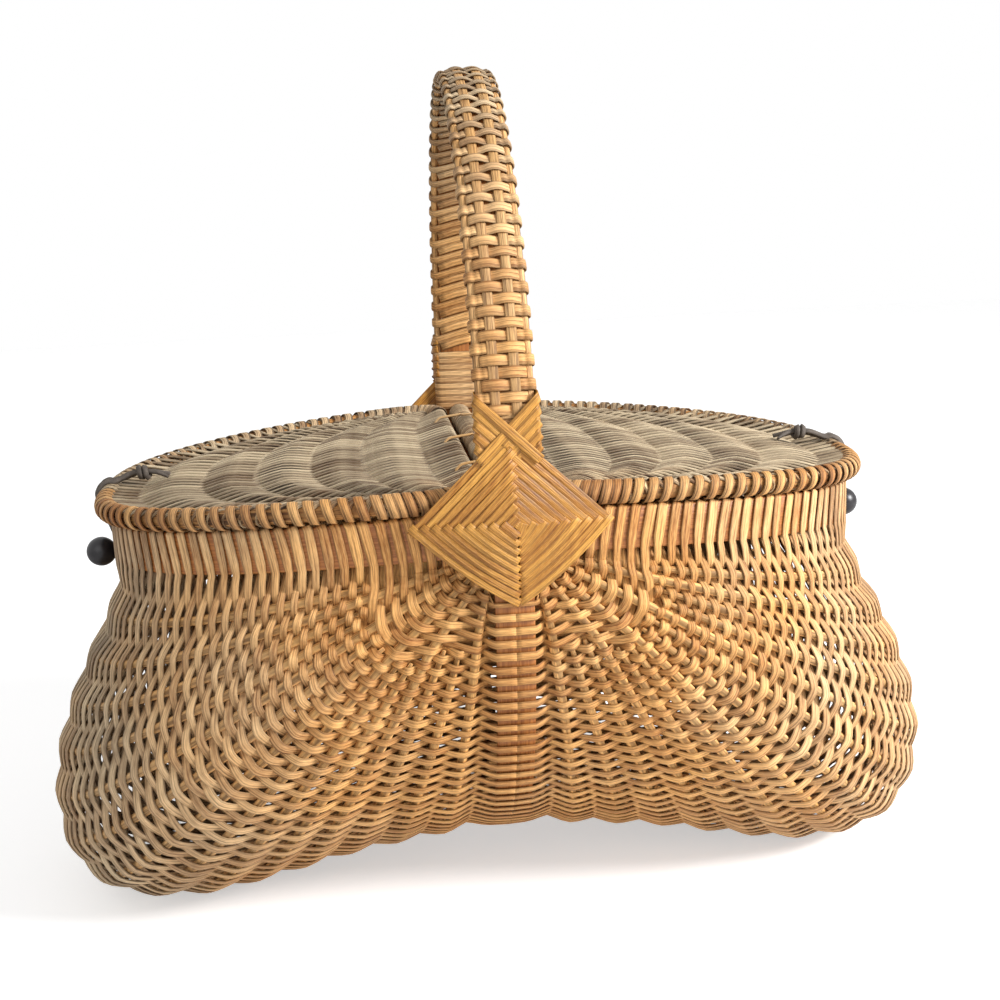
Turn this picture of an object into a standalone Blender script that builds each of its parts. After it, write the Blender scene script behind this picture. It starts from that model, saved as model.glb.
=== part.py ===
"""Lidded buttocks basket: a twin-lobed ribbed basket with a hoop handle.

Metres, +Z up. The basket stands on z = 0, its long axis is X and its handle
hoop lies in the plane x = 0. A wooden hoop makes the handle and the spine, a
second hoop makes the rim, and a lashed diamond (an ear) ties them at the
front and the back. Reed ribs run from ear to ear, and the woven walls lie
over them. Two lids turn on their spars beside a bound bar under the handle.
"""

import math

import bmesh
import bpy
from mathutils import Matrix, Vector

# Fits
FIT = 0.0003
WELD = 0.00001
CUT_OVERRUN = 0.02
SLOPE_STEP = 0.01

# Handle hoop, which is also the spine under the basket
EAR_HEIGHT = 0.245
SPINE_HEIGHT = 0.027
HOOP_HALF_DEPTH = 0.1615
HOOP_RISE = 0.2255
HOOP_WIDTH = 0.020
HOOP_THICK = 0.005
HOOP_UPPER_POWER = 1.92
HOOP_LOWER_POWER = 2.35
FOOT_STEPS = 2
SPINE_STEPS = 18
HOOP_EDGE_ROUND = 0.0012

# Handle covering: edge reeds and splints under a woven sleeve
EDGE_REED_DIAMETER = 0.004
SPLINT_WIDTH = 0.005
SPLINT_THICK = 0.0019
SPLINT_OFFSET = 0.0048
SLEEVE_THICK = 0.001
SLEEVE_START = 0.0515
WARP_START = 0.050
HANDLE_STEPS = 16

# Rim hoop and its reed binding
RIM_HALF_LENGTH = 0.2158
RIM_HEIGHT = 0.022
RIM_THICK = 0.005
RIM_LENGTH_POWER = 2.0
RIM_DEPTH_POWER = 2.7
RIM_SAG = 0.015
SAG_POWER = 1.5
RIM_STEPS = 40
BINDING_THICK = 0.0012

# Lashed diamonds where the two hoops cross
EAR_HALF_WIDTH = 0.050
EAR_UP = 0.048
EAR_DOWN = 0.039
EAR_ROUNDS = 9
EAR_EDGE_THICK = 0.0015
EAR_CENTRE_THICK = 0.0042
EAR_SWEEP = 0.004

# Ribs and woven walls of the two lobes
RIBS_PER_LOBE = 14
RIB_DIAMETER = 0.005
LOBE_REACH = 0.2590
WEAVE_THICK = 0.002
WALL_CLEARANCE = 0.0006
SCALLOP_DEPTH = 0.003
SCALLOP_SLOPE_SHARE = 0.26
REST_CUT = 0.0005
WALL_STEPS = 4
FLAT_HALF_DEPTH = 0.034
NEAR_EAR_SHARE = 0.28
TRIM_STEPS = 6
PRIMARY_RIB_STEP = 3
RIM_RIB_POWER = 2.6
MIDDLE_RIB_POWER = 2.4
# Middle section of a lobe below the rim: share of the way out to the reach, share of the height
LOBE_SHOULDER_SHARES = ((0.157, 0.857), (0.600, 0.650), (0.912, 0.449))
# The same section on to the spine: share of the reach, share of the height
LOBE_BELLY_SHARES = (
    (1.000, 0.267), (0.968, 0.110), (0.875, 0.020), (0.715, 0.000),
    (0.550, 0.035), (0.386, 0.080), (0.193, 0.121),
)

# Lids
LID_ABOVE_EAR = 0.009
LID_ROD_DIAMETER = 0.012
LID_END_OVERHANG = 0.008
LID_SIDE_OVERHANG = 0.004
LID_CORNER = 0.0295
LID_CORNER_DROP = 0.0236
LID_STEPS = 18
LID_CORNER_STEPS = 3
SPAR_DIAMETER = 0.010
SPAR_OFFSET = 0.0155
LID_RIBS = 5
LID_RIB_DIAMETER = 0.004
LID_WEAVE_THICK = 0.0016
LID_SCALLOP_DEPTH = 0.0022
LID_PANEL_STEPS = 10

# Bar under the handle, its winding and the ties that hold the lids to it
BAR_DIAMETER = 0.009
BAR_WINDING_DIAMETER = 0.0024
BAR_WINDING_LOOPS = 20
BAR_WINDING_POINTS = 8
BAR_WINDING_MARGIN = 0.011
TIE_DIAMETER = 0.0022
TIE_PLACES = (-0.094, -0.006, 0.078)
TIE_ADVANCE = 0.0029
TIE_ARC_STEPS = 5

# Ball closures and their leather laces
BALL_DIAMETER = 0.0174
BALL_STEM_DIAMETER = 0.005
BALL_STEM_LENGTH = 0.003
BALL_DROP = 0.050
BALL_STEPS = 12
BALL_RINGS = 8
LACE_DIAMETER = 0.0026
LACE_HALF_SPREAD = 0.0046
LACE_TAIL = 0.011
KNOT_INSET = 0.019
KNOT_TURNS = 2
KNOT_PITCH = 0.0034
KNOT_POINTS = 7
# Lace over the rod: degrees round it, share of the spread
LACE_OVER_SHARES = ((110, 0.444), (80, 0.596), (50, 0.747), (20, 0.899), (-5, 1.025))
# Lace down to the ball: share of the way out to the rod's outside, share of the fall
LACE_FALL_SHARES = ((0.75, 0.22), (0.34, 0.45), (0.0, 0.70))
# Lace round the stem: share of the spread, share of the loop's height
LACE_LOOP_SHARES = ((1.0, 0.3), (0.75, -0.7))

# Values that follow from the sizes above
HOOP_DROP = EAR_HEIGHT - SPINE_HEIGHT
LID_HEIGHT = EAR_HEIGHT + LID_ABOVE_EAR
RIM_TOP = LID_HEIGHT - LID_ROD_DIAMETER / 2 - FIT - BINDING_THICK
RIM_BOTTOM = RIM_TOP - RIM_HEIGHT
RIM_SEAT_SHARE = (EAR_HEIGHT - RIM_BOTTOM) / HOOP_DROP
RIM_SEAT_DEPTH = HOOP_HALF_DEPTH * (1 - RIM_SEAT_SHARE ** HOOP_LOWER_POWER) ** (1 / HOOP_LOWER_POWER)
RIM_HALF_DEPTH = RIM_SEAT_DEPTH - HOOP_THICK - 2 * FIT - BINDING_THICK
BOUND_RIM_LENGTH = RIM_HALF_LENGTH + BINDING_THICK
BOUND_RIM_DEPTH = RIM_HALF_DEPTH + BINDING_THICK
SPINE_EDGE = HOOP_WIDTH / 2 + FIT
WALL_OFFSET = RIB_DIAMETER / 2 + WALL_CLEARANCE + WEAVE_THICK / 2
FAN_HEIGHT = RIM_BOTTOM - FIT - RIB_DIAMETER / 2
LID_ROD_LENGTH = BOUND_RIM_LENGTH + LID_END_OVERHANG - LID_ROD_DIAMETER / 2
LID_ROD_DEPTH = BOUND_RIM_DEPTH + LID_SIDE_OVERHANG - LID_ROD_DIAMETER / 2
PANEL_START = SPAR_OFFSET + SPAR_DIAMETER / 2 + FIT + TIE_DIAMETER + FIT
BAR_HEIGHT = RIM_TOP + BINDING_THICK + FIT + BAR_DIAMETER / 2
WINDING_SEAT = BAR_DIAMETER / 2 + FIT + BAR_WINDING_DIAMETER / 2
WINDING_RADIUS = WINDING_SEAT / math.cos(math.pi / BAR_WINDING_POINTS)
BAR_OUTER = WINDING_RADIUS + BAR_WINDING_DIAMETER / 2
BALL_CENTRE = BOUND_RIM_LENGTH + FIT + BALL_STEM_LENGTH + BALL_DIAMETER / 2
SIDES = (("left", -1), ("right", 1))


def material(name, colour, roughness, metallic=0.0):
    """A Principled material; the colour is linear red, green and blue."""
    mat = bpy.data.materials.new(name)
    mat.use_nodes = True
    shader = mat.node_tree.nodes["Principled BSDF"]
    shader.inputs["Base Color"].default_value = (*colour, 1.0)
    shader.inputs["Roughness"].default_value = roughness
    shader.inputs["Metallic"].default_value = metallic
    mat.diffuse_color = (*colour, 1.0)
    return mat


def place(obj, collection, mat):
    """Put an object in a collection and give it its material."""
    collection.objects.link(obj)
    obj.data.materials.append(mat)
    return obj


def surface(name, rows, collection, mat, loop_rows=False, loop_columns=False):
    """A mesh surface through a grid of points, given row by row."""
    mesh = bpy.data.meshes.new(name)
    grid = bmesh.new()
    verts = [[grid.verts.new(p) for p in row] for row in rows]
    row_count, column_count = len(rows), len(rows[0])
    for i in range(row_count if loop_rows else row_count - 1):
        for j in range(column_count if loop_columns else column_count - 1):
            a, b = verts[i], verts[(i + 1) % row_count]
            k = (j + 1) % column_count
            grid.faces.new((a[j], a[k], b[k], b[j]))
    bmesh.ops.recalc_face_normals(grid, faces=grid.faces)
    grid.to_mesh(mesh)
    grid.free()
    mesh.shade_smooth()
    return place(bpy.data.objects.new(name, mesh), collection, mat)


def solidify(obj, thickness, offset, even=True):
    """Give a surface a wall; an offset of -1 keeps the surface as the outer face."""
    wall = obj.modifiers.new("wall", "SOLIDIFY")
    wall.thickness = thickness
    wall.offset = offset
    wall.use_even_offset = even
    return obj


def tube(name, points, diameter, collection, mat, roundness=1):
    """A round reed, rod or lace along the points."""
    curve = bpy.data.curves.new(name, "CURVE")
    curve.dimensions = "3D"
    curve.bevel_depth = diameter / 2
    curve.bevel_resolution = roundness
    curve.use_fill_caps = True
    spline = curve.splines.new("POLY")
    spline.points.add(len(points) - 1)
    for place_of, point in zip(spline.points, points):
        place_of.co = (*point, 1.0)
    return place(bpy.data.objects.new(name, curve), collection, mat)


def solid_tube(name, points, diameter, collection, mat, roundness=1):
    """The same tube as a closed mesh, for joining."""
    curve = tube(name + "_line", points, diameter, collection, mat, roundness)
    bpy.context.view_layer.update()
    evaluated = curve.evaluated_get(bpy.context.evaluated_depsgraph_get())
    mesh = bpy.data.meshes.new_from_object(evaluated)
    bpy.data.objects.remove(curve)
    welded = bmesh.new()
    welded.from_mesh(mesh)
    bmesh.ops.remove_doubles(welded, verts=welded.verts, dist=WELD)
    bmesh.ops.recalc_face_normals(welded, faces=welded.faces)
    welded.to_mesh(mesh)
    welded.free()
    obj = bpy.data.objects.new(name, mesh)
    collection.objects.link(obj)
    return obj


def power(value, exponent):
    """A signed power, for the rounded-square curves of the hoops and ribs."""
    return math.copysign(abs(value) ** exponent, value)


def sag(x):
    """How far the rim and the lids dip towards the two ends."""
    return RIM_SAG * (abs(x) / RIM_HALF_LENGTH) ** SAG_POWER


def hoop_point(angle, inset=0.0):
    """A point of the hoop's outer face in the plane x = 0, moved in by an inset."""
    rise = HOOP_RISE if math.sin(angle) >= 0 else HOOP_DROP
    exponent = 2 / (HOOP_UPPER_POWER if math.sin(angle) >= 0 else HOOP_LOWER_POWER)
    y = (HOOP_HALF_DEPTH - inset) * power(math.cos(angle), exponent)
    z = EAR_HEIGHT + (rise - inset) * power(math.sin(angle), exponent)
    return Vector((0.0, y, z))


def hoop_outer_depth(z):
    """Half depth of the hoop's outer face at a height."""
    above = z >= EAR_HEIGHT
    exponent = HOOP_UPPER_POWER if above else HOOP_LOWER_POWER
    share = min(1.0, abs(z - EAR_HEIGHT) / (HOOP_RISE if above else HOOP_DROP))
    return HOOP_HALF_DEPTH * (1.0 - share ** exponent) ** (1.0 / exponent)


def hoop_angle(height):
    """The hoop's angle at a height above the ears, front side."""
    return math.asin((height / HOOP_RISE) ** (HOOP_UPPER_POWER / 2))


def handle_angles(height):
    """Angles over the handle from a height above the front ear to the same at the back."""
    start = hoop_angle(height)
    return [start + (math.pi - 2 * start) * k / HANDLE_STEPS for k in range(HANDLE_STEPS + 1)]


def rim_point(angle, inset=0.0):
    """A point of the rim's outer face at its top edge, moved in by an inset."""
    x = (RIM_HALF_LENGTH - inset) * power(math.cos(angle), 2 / RIM_LENGTH_POWER)
    y = (RIM_HALF_DEPTH - inset) * power(math.sin(angle), 2 / RIM_DEPTH_POWER)
    return Vector((x, y, RIM_TOP - sag(x)))


def smooth_path(points, samples):
    """Evenly spaced points on a Catmull-Rom curve through the given points."""
    padded = [2 * points[0] - points[1], *points, 2 * points[-1] - points[-2]]
    dense = []
    for i in range(1, len(padded) - 2):
        a, b, c, d = padded[i - 1:i + 3]
        for k in range(12):
            u = k / 12
            dense.append(0.5 * (2 * b + (c - a) * u + (2 * a - 5 * b + 4 * c - d) * u ** 2
                                + (3 * b - a - 3 * c + d) * u ** 3))
    dense.append(points[-1])
    travelled = [0.0]
    for start, end in zip(dense, dense[1:]):
        travelled.append(travelled[-1] + (end - start).length)
    result = []
    for k in range(samples):
        goal = travelled[-1] * k / (samples - 1)
        i = max(1, next(n for n, d in enumerate(travelled) if d >= goal * (1 - 1e-9)))
        part = (goal - travelled[i - 1]) / (travelled[i] - travelled[i - 1])
        result.append(dense[i - 1].lerp(dense[i], part))
    return result


def lobe_section():
    """Rib centres across the middle of a lobe, from the rim to the spine's edge."""
    low = WALL_OFFSET + WEAVE_THICK / 2 - REST_CUT
    top = RIM_BOTTOM - RIM_SAG - FIT
    start = Vector((RIM_HALF_LENGTH - RIM_THICK / 2 - WALL_OFFSET, 0.0, top))
    spine = SPINE_HEIGHT + HOOP_THICK / 2 + WALL_OFFSET
    inner = [(start.x + (LOBE_REACH - start.x) * a, b) for a, b in LOBE_SHOULDER_SHARES]
    inner += [(LOBE_REACH * a, b) for a, b in LOBE_BELLY_SHARES]
    inner = [Vector((x, 0.0, low + (top - low) * b)) for x, b in inner]
    return smooth_path([start, *inner, Vector((SPINE_EDGE, 0.0, spine))], 2 * (RIBS_PER_LOBE + 1) + 1)


def spacing(across, along):
    """How far apart two lines are that run along a direction."""
    run = along.normalized()
    return (across - run * across.dot(run)).length


def blend(share, rim_value, middle_value, spine_value):
    """A value that changes from the rim to the middle and on to the spine."""
    if share < 0.5:
        return rim_value + (middle_value - rim_value) * share * 2
    return middle_value + (spine_value - middle_value) * (share * 2 - 1)


def lobe_depth(share):
    """Half depth of the lobe at the ears, and how square the rib's curve is in depth."""
    at_rim = RIM_HALF_DEPTH - RIM_THICK / 2 - WALL_OFFSET
    at_spine = HOOP_HALF_DEPTH - HOOP_THICK / 2 - WALL_OFFSET
    squareness = blend(share, RIM_DEPTH_POWER, MIDDLE_RIB_POWER, HOOP_LOWER_POWER)
    return at_rim + (at_spine - at_rim) * share, squareness


def flat_angle(share):
    """Where a rib reaches the flat middle of its lobe."""
    depth, squareness = lobe_depth(share)
    return math.acos((FLAT_HALF_DEPTH / depth) ** (squareness / 2))


def lobe_point(section, column, t):
    """A point among the rib centres: column across the lobe, t from the front ear."""
    share = column / (len(section) - 1)
    low = math.floor(column)
    high = min(low + 1, len(section) - 1)
    middle = section[low].lerp(section[high], column - low)
    depth, squareness = lobe_depth(share)
    full = math.sin(flat_angle(share))
    exponent = 2 / blend(share, RIM_RIB_POWER, MIDDLE_RIB_POWER, HOOP_LOWER_POWER)
    reach = min(1.0, (math.sin(t) / full) ** exponent)
    side = power(math.cos(t), 2 / squareness)
    fan = FAN_HEIGHT + (EAR_HEIGHT - FAN_HEIGHT) * share
    x = SPINE_EDGE + (middle.x - SPINE_EDGE) * reach
    return Vector((x, -depth * side, fan + (middle.z - fan) * reach))


def lobe_outward(section, column, t):
    """The outward direction of the lobe at a point, from its two slopes."""
    last = len(section) - 1
    across = (lobe_point(section, min(column + SLOPE_STEP, last), t)
              - lobe_point(section, max(column - SLOPE_STEP, 0.0), t))
    along = lobe_point(section, column, t + SLOPE_STEP) - lobe_point(section, column, t - SLOPE_STEP)
    return across.cross(along).normalized()


def ear_side(share):
    """Where the wall leaves the ear, down the lower edge of its diamond: x and z."""
    widest = EAR_HALF_WIDTH * (1 - (EAR_HEIGHT - RIM_BOTTOM) / EAR_DOWN)
    x = widest + (SPINE_EDGE + WEAVE_THICK / 4 - widest) * share
    z = EAR_HEIGHT - EAR_DOWN * (1 - x / EAR_HALF_WIDTH) - FIT - WEAVE_THICK / 2
    return x, z


def wall_angles(section, column):
    """Places along a rib that the wall and the rib share, from beside the ear to the flat."""
    share = column / (len(section) - 1)
    exponent = blend(share, RIM_RIB_POWER, MIDDLE_RIB_POWER, HOOP_LOWER_POWER) / 2
    near, flat = math.asin(NEAR_EAR_SHARE ** exponent), flat_angle(share)
    return [near + (flat - near) * k / WALL_STEPS for k in range(WALL_STEPS + 1)]


def scallop(section, column, t):
    """How far the wall dips in between two ribs at a place."""
    if column % 2 == 0:
        return 0.0
    across = lobe_point(section, column + 1, t) - lobe_point(section, column - 1, t)
    along = lobe_point(section, column, t + SLOPE_STEP) - lobe_point(section, column, t - SLOPE_STEP)
    return min(SCALLOP_DEPTH, SCALLOP_SLOPE_SHARE * spacing(across, along) / 2)


def mirrored(points, side, back):
    """Points of the front right quarter, turned to another quarter."""
    return [Vector((p.x * side, -p.y if back else p.y, p.z)) for p in points]


def build_hoops(parts, wood, reed):
    """The handle hoop with its spine, the rim hoop and the rim's binding."""
    half = HOOP_WIDTH / 2
    over = handle_angles(WARP_START)
    foot = [over[0] * k / FOOT_STEPS for k in range(1, FOOT_STEPS)]
    seat = math.asin(RIM_SEAT_SHARE ** (HOOP_LOWER_POWER / 2))
    low = [seat + (math.pi - 2 * seat) * k / SPINE_STEPS for k in range(SPINE_STEPS + 1)]
    under = [math.pi + a for a in (0.0, *low, math.pi)]
    ring = [hoop_point(a) for a in over + [math.pi - a for a in reversed(foot)] + under + foot]
    rows = [[p + Vector((x, 0, 0)) for p in ring] for x in (-half, half)]
    hoop = surface("handle_hoop", rows, parts, wood, loop_columns=True)
    solidify(hoop, HOOP_THICK, -1)
    rounding = hoop.modifiers.new("edges", "BEVEL")
    rounding.width = HOOP_EDGE_ROUND
    rounding.limit_method = "ANGLE"
    rounding.angle_limit = math.radians(60)
    rounding.segments = 1

    angles = [2 * math.pi * k / RIM_STEPS for k in range(RIM_STEPS)]
    top = [rim_point(a) for a in angles]
    bottom = [p - Vector((0, 0, RIM_HEIGHT)) for p in top]
    solidify(surface("rim_hoop", [bottom, top], parts, wood, loop_columns=True), RIM_THICK, -1)

    lift = Vector((0, 0, FIT))
    outer = [rim_point(a, -FIT) for a in angles]
    inner = [rim_point(a, RIM_THICK + FIT) for a in angles]
    rows = [[p - Vector((0, 0, RIM_HEIGHT)) for p in outer], [p + lift for p in outer],
            [p + lift for p in inner], [p - Vector((0, 0, RIM_HEIGHT)) for p in inner]]
    binding = surface("rim_binding", rows, parts, reed, loop_columns=True)
    solidify(binding, BINDING_THICK - FIT, 1)


def sleeve_rows(angles):
    """Sections of a sleeve round the hoop and its warps, as rounded rectangles."""
    half = HOOP_WIDTH / 2 + FIT + EDGE_REED_DIAMETER + FIT
    outside = SPLINT_THICK + 2 * FIT
    inside = HOOP_THICK + FIT
    corner = SLEEVE_THICK + FIT
    profile = ((half, corner - inside), (half, outside - corner), (half - corner, outside),
               (corner - half, outside), (-half, outside - corner), (-half, corner - inside),
               (corner - half, -inside), (half - corner, -inside))
    return [[hoop_point(a, -out) + Vector((x, 0, 0)) for x, out in profile] for a in angles]


def build_handle(parts, reed):
    """Edge reeds, splints and the woven sleeve round the handle."""
    angles = handle_angles(WARP_START)
    edge = HOOP_WIDTH / 2 + FIT + EDGE_REED_DIAMETER / 2
    for label, side in SIDES:
        shift = Vector((side * edge, 0, 0))
        points = [hoop_point(a, HOOP_THICK / 2) + shift for a in angles]
        tube(f"handle_edge_reed_{label}", points, EDGE_REED_DIAMETER, parts, reed)
        rows = [[hoop_point(a, -FIT) + Vector((side * SPLINT_OFFSET + x, 0, 0)) for a in angles]
                for x in (-SPLINT_WIDTH / 2, SPLINT_WIDTH / 2)]
        splint = surface(f"handle_splint_{label}", rows, parts, reed)
        solidify(splint, SPLINT_THICK, 1)
    rows = sleeve_rows(handle_angles(SLEEVE_START))
    sleeve = surface("handle_weave", rows, parts, reed, loop_columns=True)
    solidify(sleeve, SLEEVE_THICK, 1)


def ear_back_depth(x, z):
    """Depth of the inner face of an ear: on the hoop, then swept back to its corners."""
    shoulder = HOOP_WIDTH / 2 + HOOP_EDGE_ROUND
    away = max(0.0, abs(x) - shoulder) / (EAR_HALF_WIDTH - shoulder)
    return hoop_outer_depth(z) + FIT - EAR_SWEEP * away


def ear_ring(share, lift):
    """Eight points round the ear's diamond at a share of its size."""
    width, up, down = EAR_HALF_WIDTH * share, EAR_UP * share, EAR_DOWN * share
    bend = min(HOOP_WIDTH / 2 + HOOP_EDGE_ROUND, width / 2)
    rest = 1 - bend / width
    corners = ((width, 0.0), (bend, up * rest), (0.0, up), (-bend, up * rest),
               (-width, 0.0), (-bend, -down * rest), (0.0, -down), (bend, -down * rest))
    return [Vector((x, -(ear_back_depth(x, EAR_HEIGHT + z) + lift), EAR_HEIGHT + z))
            for x, z in corners]


def build_ears(parts, reed):
    """The lashed diamonds, stepped round by round."""
    smallest = 1 / (2 * EAR_ROUNDS)
    for label, back in (("front", False), ("back", True)):
        rows = [ear_ring(1.0 - k / EAR_ROUNDS, 0.0) for k in reversed(range(EAR_ROUNDS))]
        rows.insert(0, ear_ring(smallest, 0.0))
        for k in range(EAR_ROUNDS):
            lift = EAR_EDGE_THICK + (EAR_CENTRE_THICK - EAR_EDGE_THICK) * k / (EAR_ROUNDS - 1)
            outer_share = 1.0 - k / EAR_ROUNDS
            inner_share = max(smallest, 1.0 - (k + 1) / EAR_ROUNDS)
            rows.append(ear_ring(outer_share, lift))
            rows.append(ear_ring(inner_share, lift))
        turn = -1 if back else 1
        rows = [[Vector((p.x * turn, p.y * turn, p.z)) for p in row] for row in rows]
        ear = surface(f"ear_{label}", rows, parts, reed, loop_columns=True)
        mesh = bmesh.new()
        mesh.from_mesh(ear.data)
        bmesh.ops.holes_fill(mesh, edges=[e for e in mesh.edges if e.is_boundary], sides=0)
        bmesh.ops.recalc_face_normals(mesh, faces=mesh.faces)
        mesh.to_mesh(ear.data)
        mesh.free()
        ear.data.shade_flat()


def away_from(point, line):
    """The distance from a point to a line of points."""
    nearest = []
    for a, b in zip(line, line[1:]):
        share = (point - a).dot(b - a) / (b - a).length_squared
        nearest.append((point - a.lerp(b, max(0.0, min(1.0, share)))).length)
    return min(nearest)


def trimmed(line, others, room):
    """The line from where it has room beside the others."""
    fine = [a.lerp(b, k / TRIM_STEPS) for a, b in zip(line, line[1:]) for k in range(TRIM_STEPS)]
    blocked = [i for i, p in enumerate(fine) if any(away_from(p, other) < room for other in others)]
    first = blocked[-1] + 1 if blocked else 0
    return [fine[first], *line[first // TRIM_STEPS + 1:]]


def rib_line(section, column):
    """A rib's centre line from the ear to the flat middle of the lobe."""
    share = column / (len(section) - 1)
    x, z = ear_side(share)
    start = lobe_point(section, column, 0.0)
    return [Vector((x, start.y, z)), *[lobe_point(section, column, t) for t in wall_angles(section, column)]]


def rim_line(section):
    """The rim's lower edge, above the first line of the wall."""
    line = []
    for p in rib_line(section, 1):
        side = (abs(p.y) / RIM_HALF_DEPTH) ** (RIM_DEPTH_POWER / 2)
        end = (p.x / RIM_HALF_LENGTH) ** (RIM_LENGTH_POWER / 2)
        q = rim_point(math.atan2(side, end), RIM_THICK / 2)
        line.append(Vector((q.x, -q.y, q.z - RIM_HEIGHT)))
    return line


def build_ribs(section, parts, reed):
    """Reed ribs from ear to ear; every third one starts nearest, the rest where room opens."""
    room = RIB_DIAMETER + 2 * FIT
    whole = range(1, RIBS_PER_LOBE + 1)
    lines = {k: rib_line(section, 2 * k) for k in whole}
    rim = rim_line(section)
    primary = [k for k in whole if k % PRIMARY_RIB_STEP == PRIMARY_RIB_STEP - 1]
    for k in whole:
        beside = primary if k in primary else whole
        others = [rim] + [lines[n] for n in beside if n != k]
        front = trimmed(lines[k], others, room)
        back = [Vector((p.x, -p.y, p.z)) for p in reversed(front)]
        for label, side in SIDES:
            points = [Vector((p.x * side, p.y, p.z)) for p in front + back]
            tube(f"rib_{label}_{k:02d}", points, RIB_DIAMETER, parts, reed)


def wall_column(section, column):
    """One line of the woven wall from the ear to the middle of the lobe."""
    if column == 0:
        points = [p - Vector((0, 0, FIT + WEAVE_THICK / 2)) for p in rim_line(section)]
    else:
        start = rib_line(section, column)[0]
        points = [start - Vector((0, WALL_OFFSET, 0))]
        for t in wall_angles(section, column):
            lift = WALL_OFFSET - scallop(section, column, t)
            p = lobe_point(section, column, t) + lobe_outward(section, column, t) * lift
            p.x = max(p.x, SPINE_EDGE + WEAVE_THICK / 4)
            points.append(p)
    middle = points[-1].copy()
    middle.y = -FIT
    return [*points, middle]


def build_walls(section, parts, cutters, reed):
    """Scalloped woven walls over the ribs, one for each quarter of the basket."""
    columns = [wall_column(section, c) for c in range(len(section))]
    floor = box("rest_cutter", (0, 0, -CUT_OVERRUN / 2),
                (2 * LOBE_REACH + CUT_OVERRUN, 2 * HOOP_HALF_DEPTH, CUT_OVERRUN), cutters)
    for label, side in SIDES:
        for end, back in (("front", False), ("back", True)):
            rows = [mirrored(points, side, back) for points in columns]
            wall = surface(f"weaving_{end}_{label}", rows, parts, reed)
            solidify(wall, WEAVE_THICK, 0, even=False)
            cut = wall.modifiers.new("rest", "BOOLEAN")
            cut.operation = "DIFFERENCE"
            cut.object = floor


def box(name, centre, size, collection):
    """A box that only cuts."""
    mesh = bpy.data.meshes.new(name)
    cube = bmesh.new()
    bmesh.ops.create_cube(cube, size=1.0)
    for vert in cube.verts:
        vert.co = Vector([c * s for c, s in zip(vert.co, size)]) + Vector(centre)
    cube.to_mesh(mesh)
    cube.free()
    obj = bpy.data.objects.new(name, mesh)
    collection.objects.link(obj)
    obj.hide_render = True
    obj.display_type = "WIRE"
    return obj


def lid_outline():
    """Centre line of a lid's bent rod on the right side, from corner to corner."""
    corner_depth = LID_ROD_DEPTH - LID_CORNER_DROP
    start_x = SPAR_OFFSET + LID_CORNER
    start_share = start_x / LID_ROD_LENGTH
    first = math.asin(start_share ** (RIM_LENGTH_POWER / 2))

    def oval(t):
        return Vector((LID_ROD_LENGTH * math.sin(t) ** (2 / RIM_LENGTH_POWER),
                       -LID_ROD_DEPTH * power(math.cos(t), 2 / RIM_DEPTH_POWER), 0.0))

    begin = oval(first)
    seat = Vector((SPAR_OFFSET, -corner_depth, 0.0))
    tip = seat - Vector((0.0, LID_ROD_DIAMETER / 4, 0.0))
    bend = Vector((SPAR_OFFSET, begin.y - FIT, 0.0))
    corner = [tip * (1 - u) ** 2 + bend * 2 * u * (1 - u) + begin * u ** 2
              for u in (k / LID_CORNER_STEPS for k in range(LID_CORNER_STEPS))]
    arc = [oval(first + (math.pi - 2 * first) * k / LID_STEPS) for k in range(LID_STEPS + 1)]
    corner.insert(0, seat)
    mirror = [Vector((p.x, -p.y, 0.0)) for p in reversed(corner)]
    points = corner + arc + mirror
    return [Vector((p.x, p.y, LID_HEIGHT - sag(p.x) + sag(SPAR_OFFSET))) for p in points]


def inset_path(points, distance):
    """A flat path moved inwards, towards the middle of the lid."""
    moved = []
    for i, p in enumerate(points):
        before, after = points[max(i - 1, 0)], points[min(i + 1, len(points) - 1)]
        run = Vector((after.x - before.x, after.y - before.y, 0.0)).normalized()
        moved.append(p + Vector((-run.y, run.x, 0.0)) * distance)
    return moved


def lid_grid(outline):
    """Edges of the woven panel: one beside the spar and one inside the bent rod."""
    outer = inset_path(outline, LID_ROD_DIAMETER / 2 + FIT)
    outer = [p for p in outer if p.x > PANEL_START + FIT]
    first = min(range(len(outer)), key=lambda i: outer[i].y)
    last = max(range(len(outer)), key=lambda i: outer[i].y)
    corner_share = outer[0].y / outer[first].y
    outer = outer[first:last + 1]
    travelled = [0.0]
    for a, b in zip(outer, outer[1:]):
        travelled.append(travelled[-1] + (b - a).length)
    pairs = []
    for k in range(LID_PANEL_STEPS + 1):
        goal = travelled[-1] * k / LID_PANEL_STEPS
        i = max(1, next(n for n, d in enumerate(travelled) if d >= goal - FIT / 2))
        part = min(1.0, (goal - travelled[i - 1]) / (travelled[i] - travelled[i - 1]))
        far = outer[i - 1].lerp(outer[i], part)
        near = Vector((PANEL_START, far.y * corner_share, LID_HEIGHT))
        pairs.append((near, far))
    return pairs


def lid_point(pair, share):
    """A point across a lid at a share of the way from the spar to the rod."""
    near, far = pair
    flat = near.lerp(far, share)
    return Vector((flat.x, flat.y, LID_HEIGHT - sag(flat.x) + sag(SPAR_OFFSET)))


def rod_point(outline, x):
    """The bent rod's centre at a distance from the handle, on its front half."""
    a, b = next((a, b) for a, b in zip(outline, outline[1:]) if a.x < b.x and b.x >= x)
    return a.lerp(b, (x - a.x) / (b.x - a.x))


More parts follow.
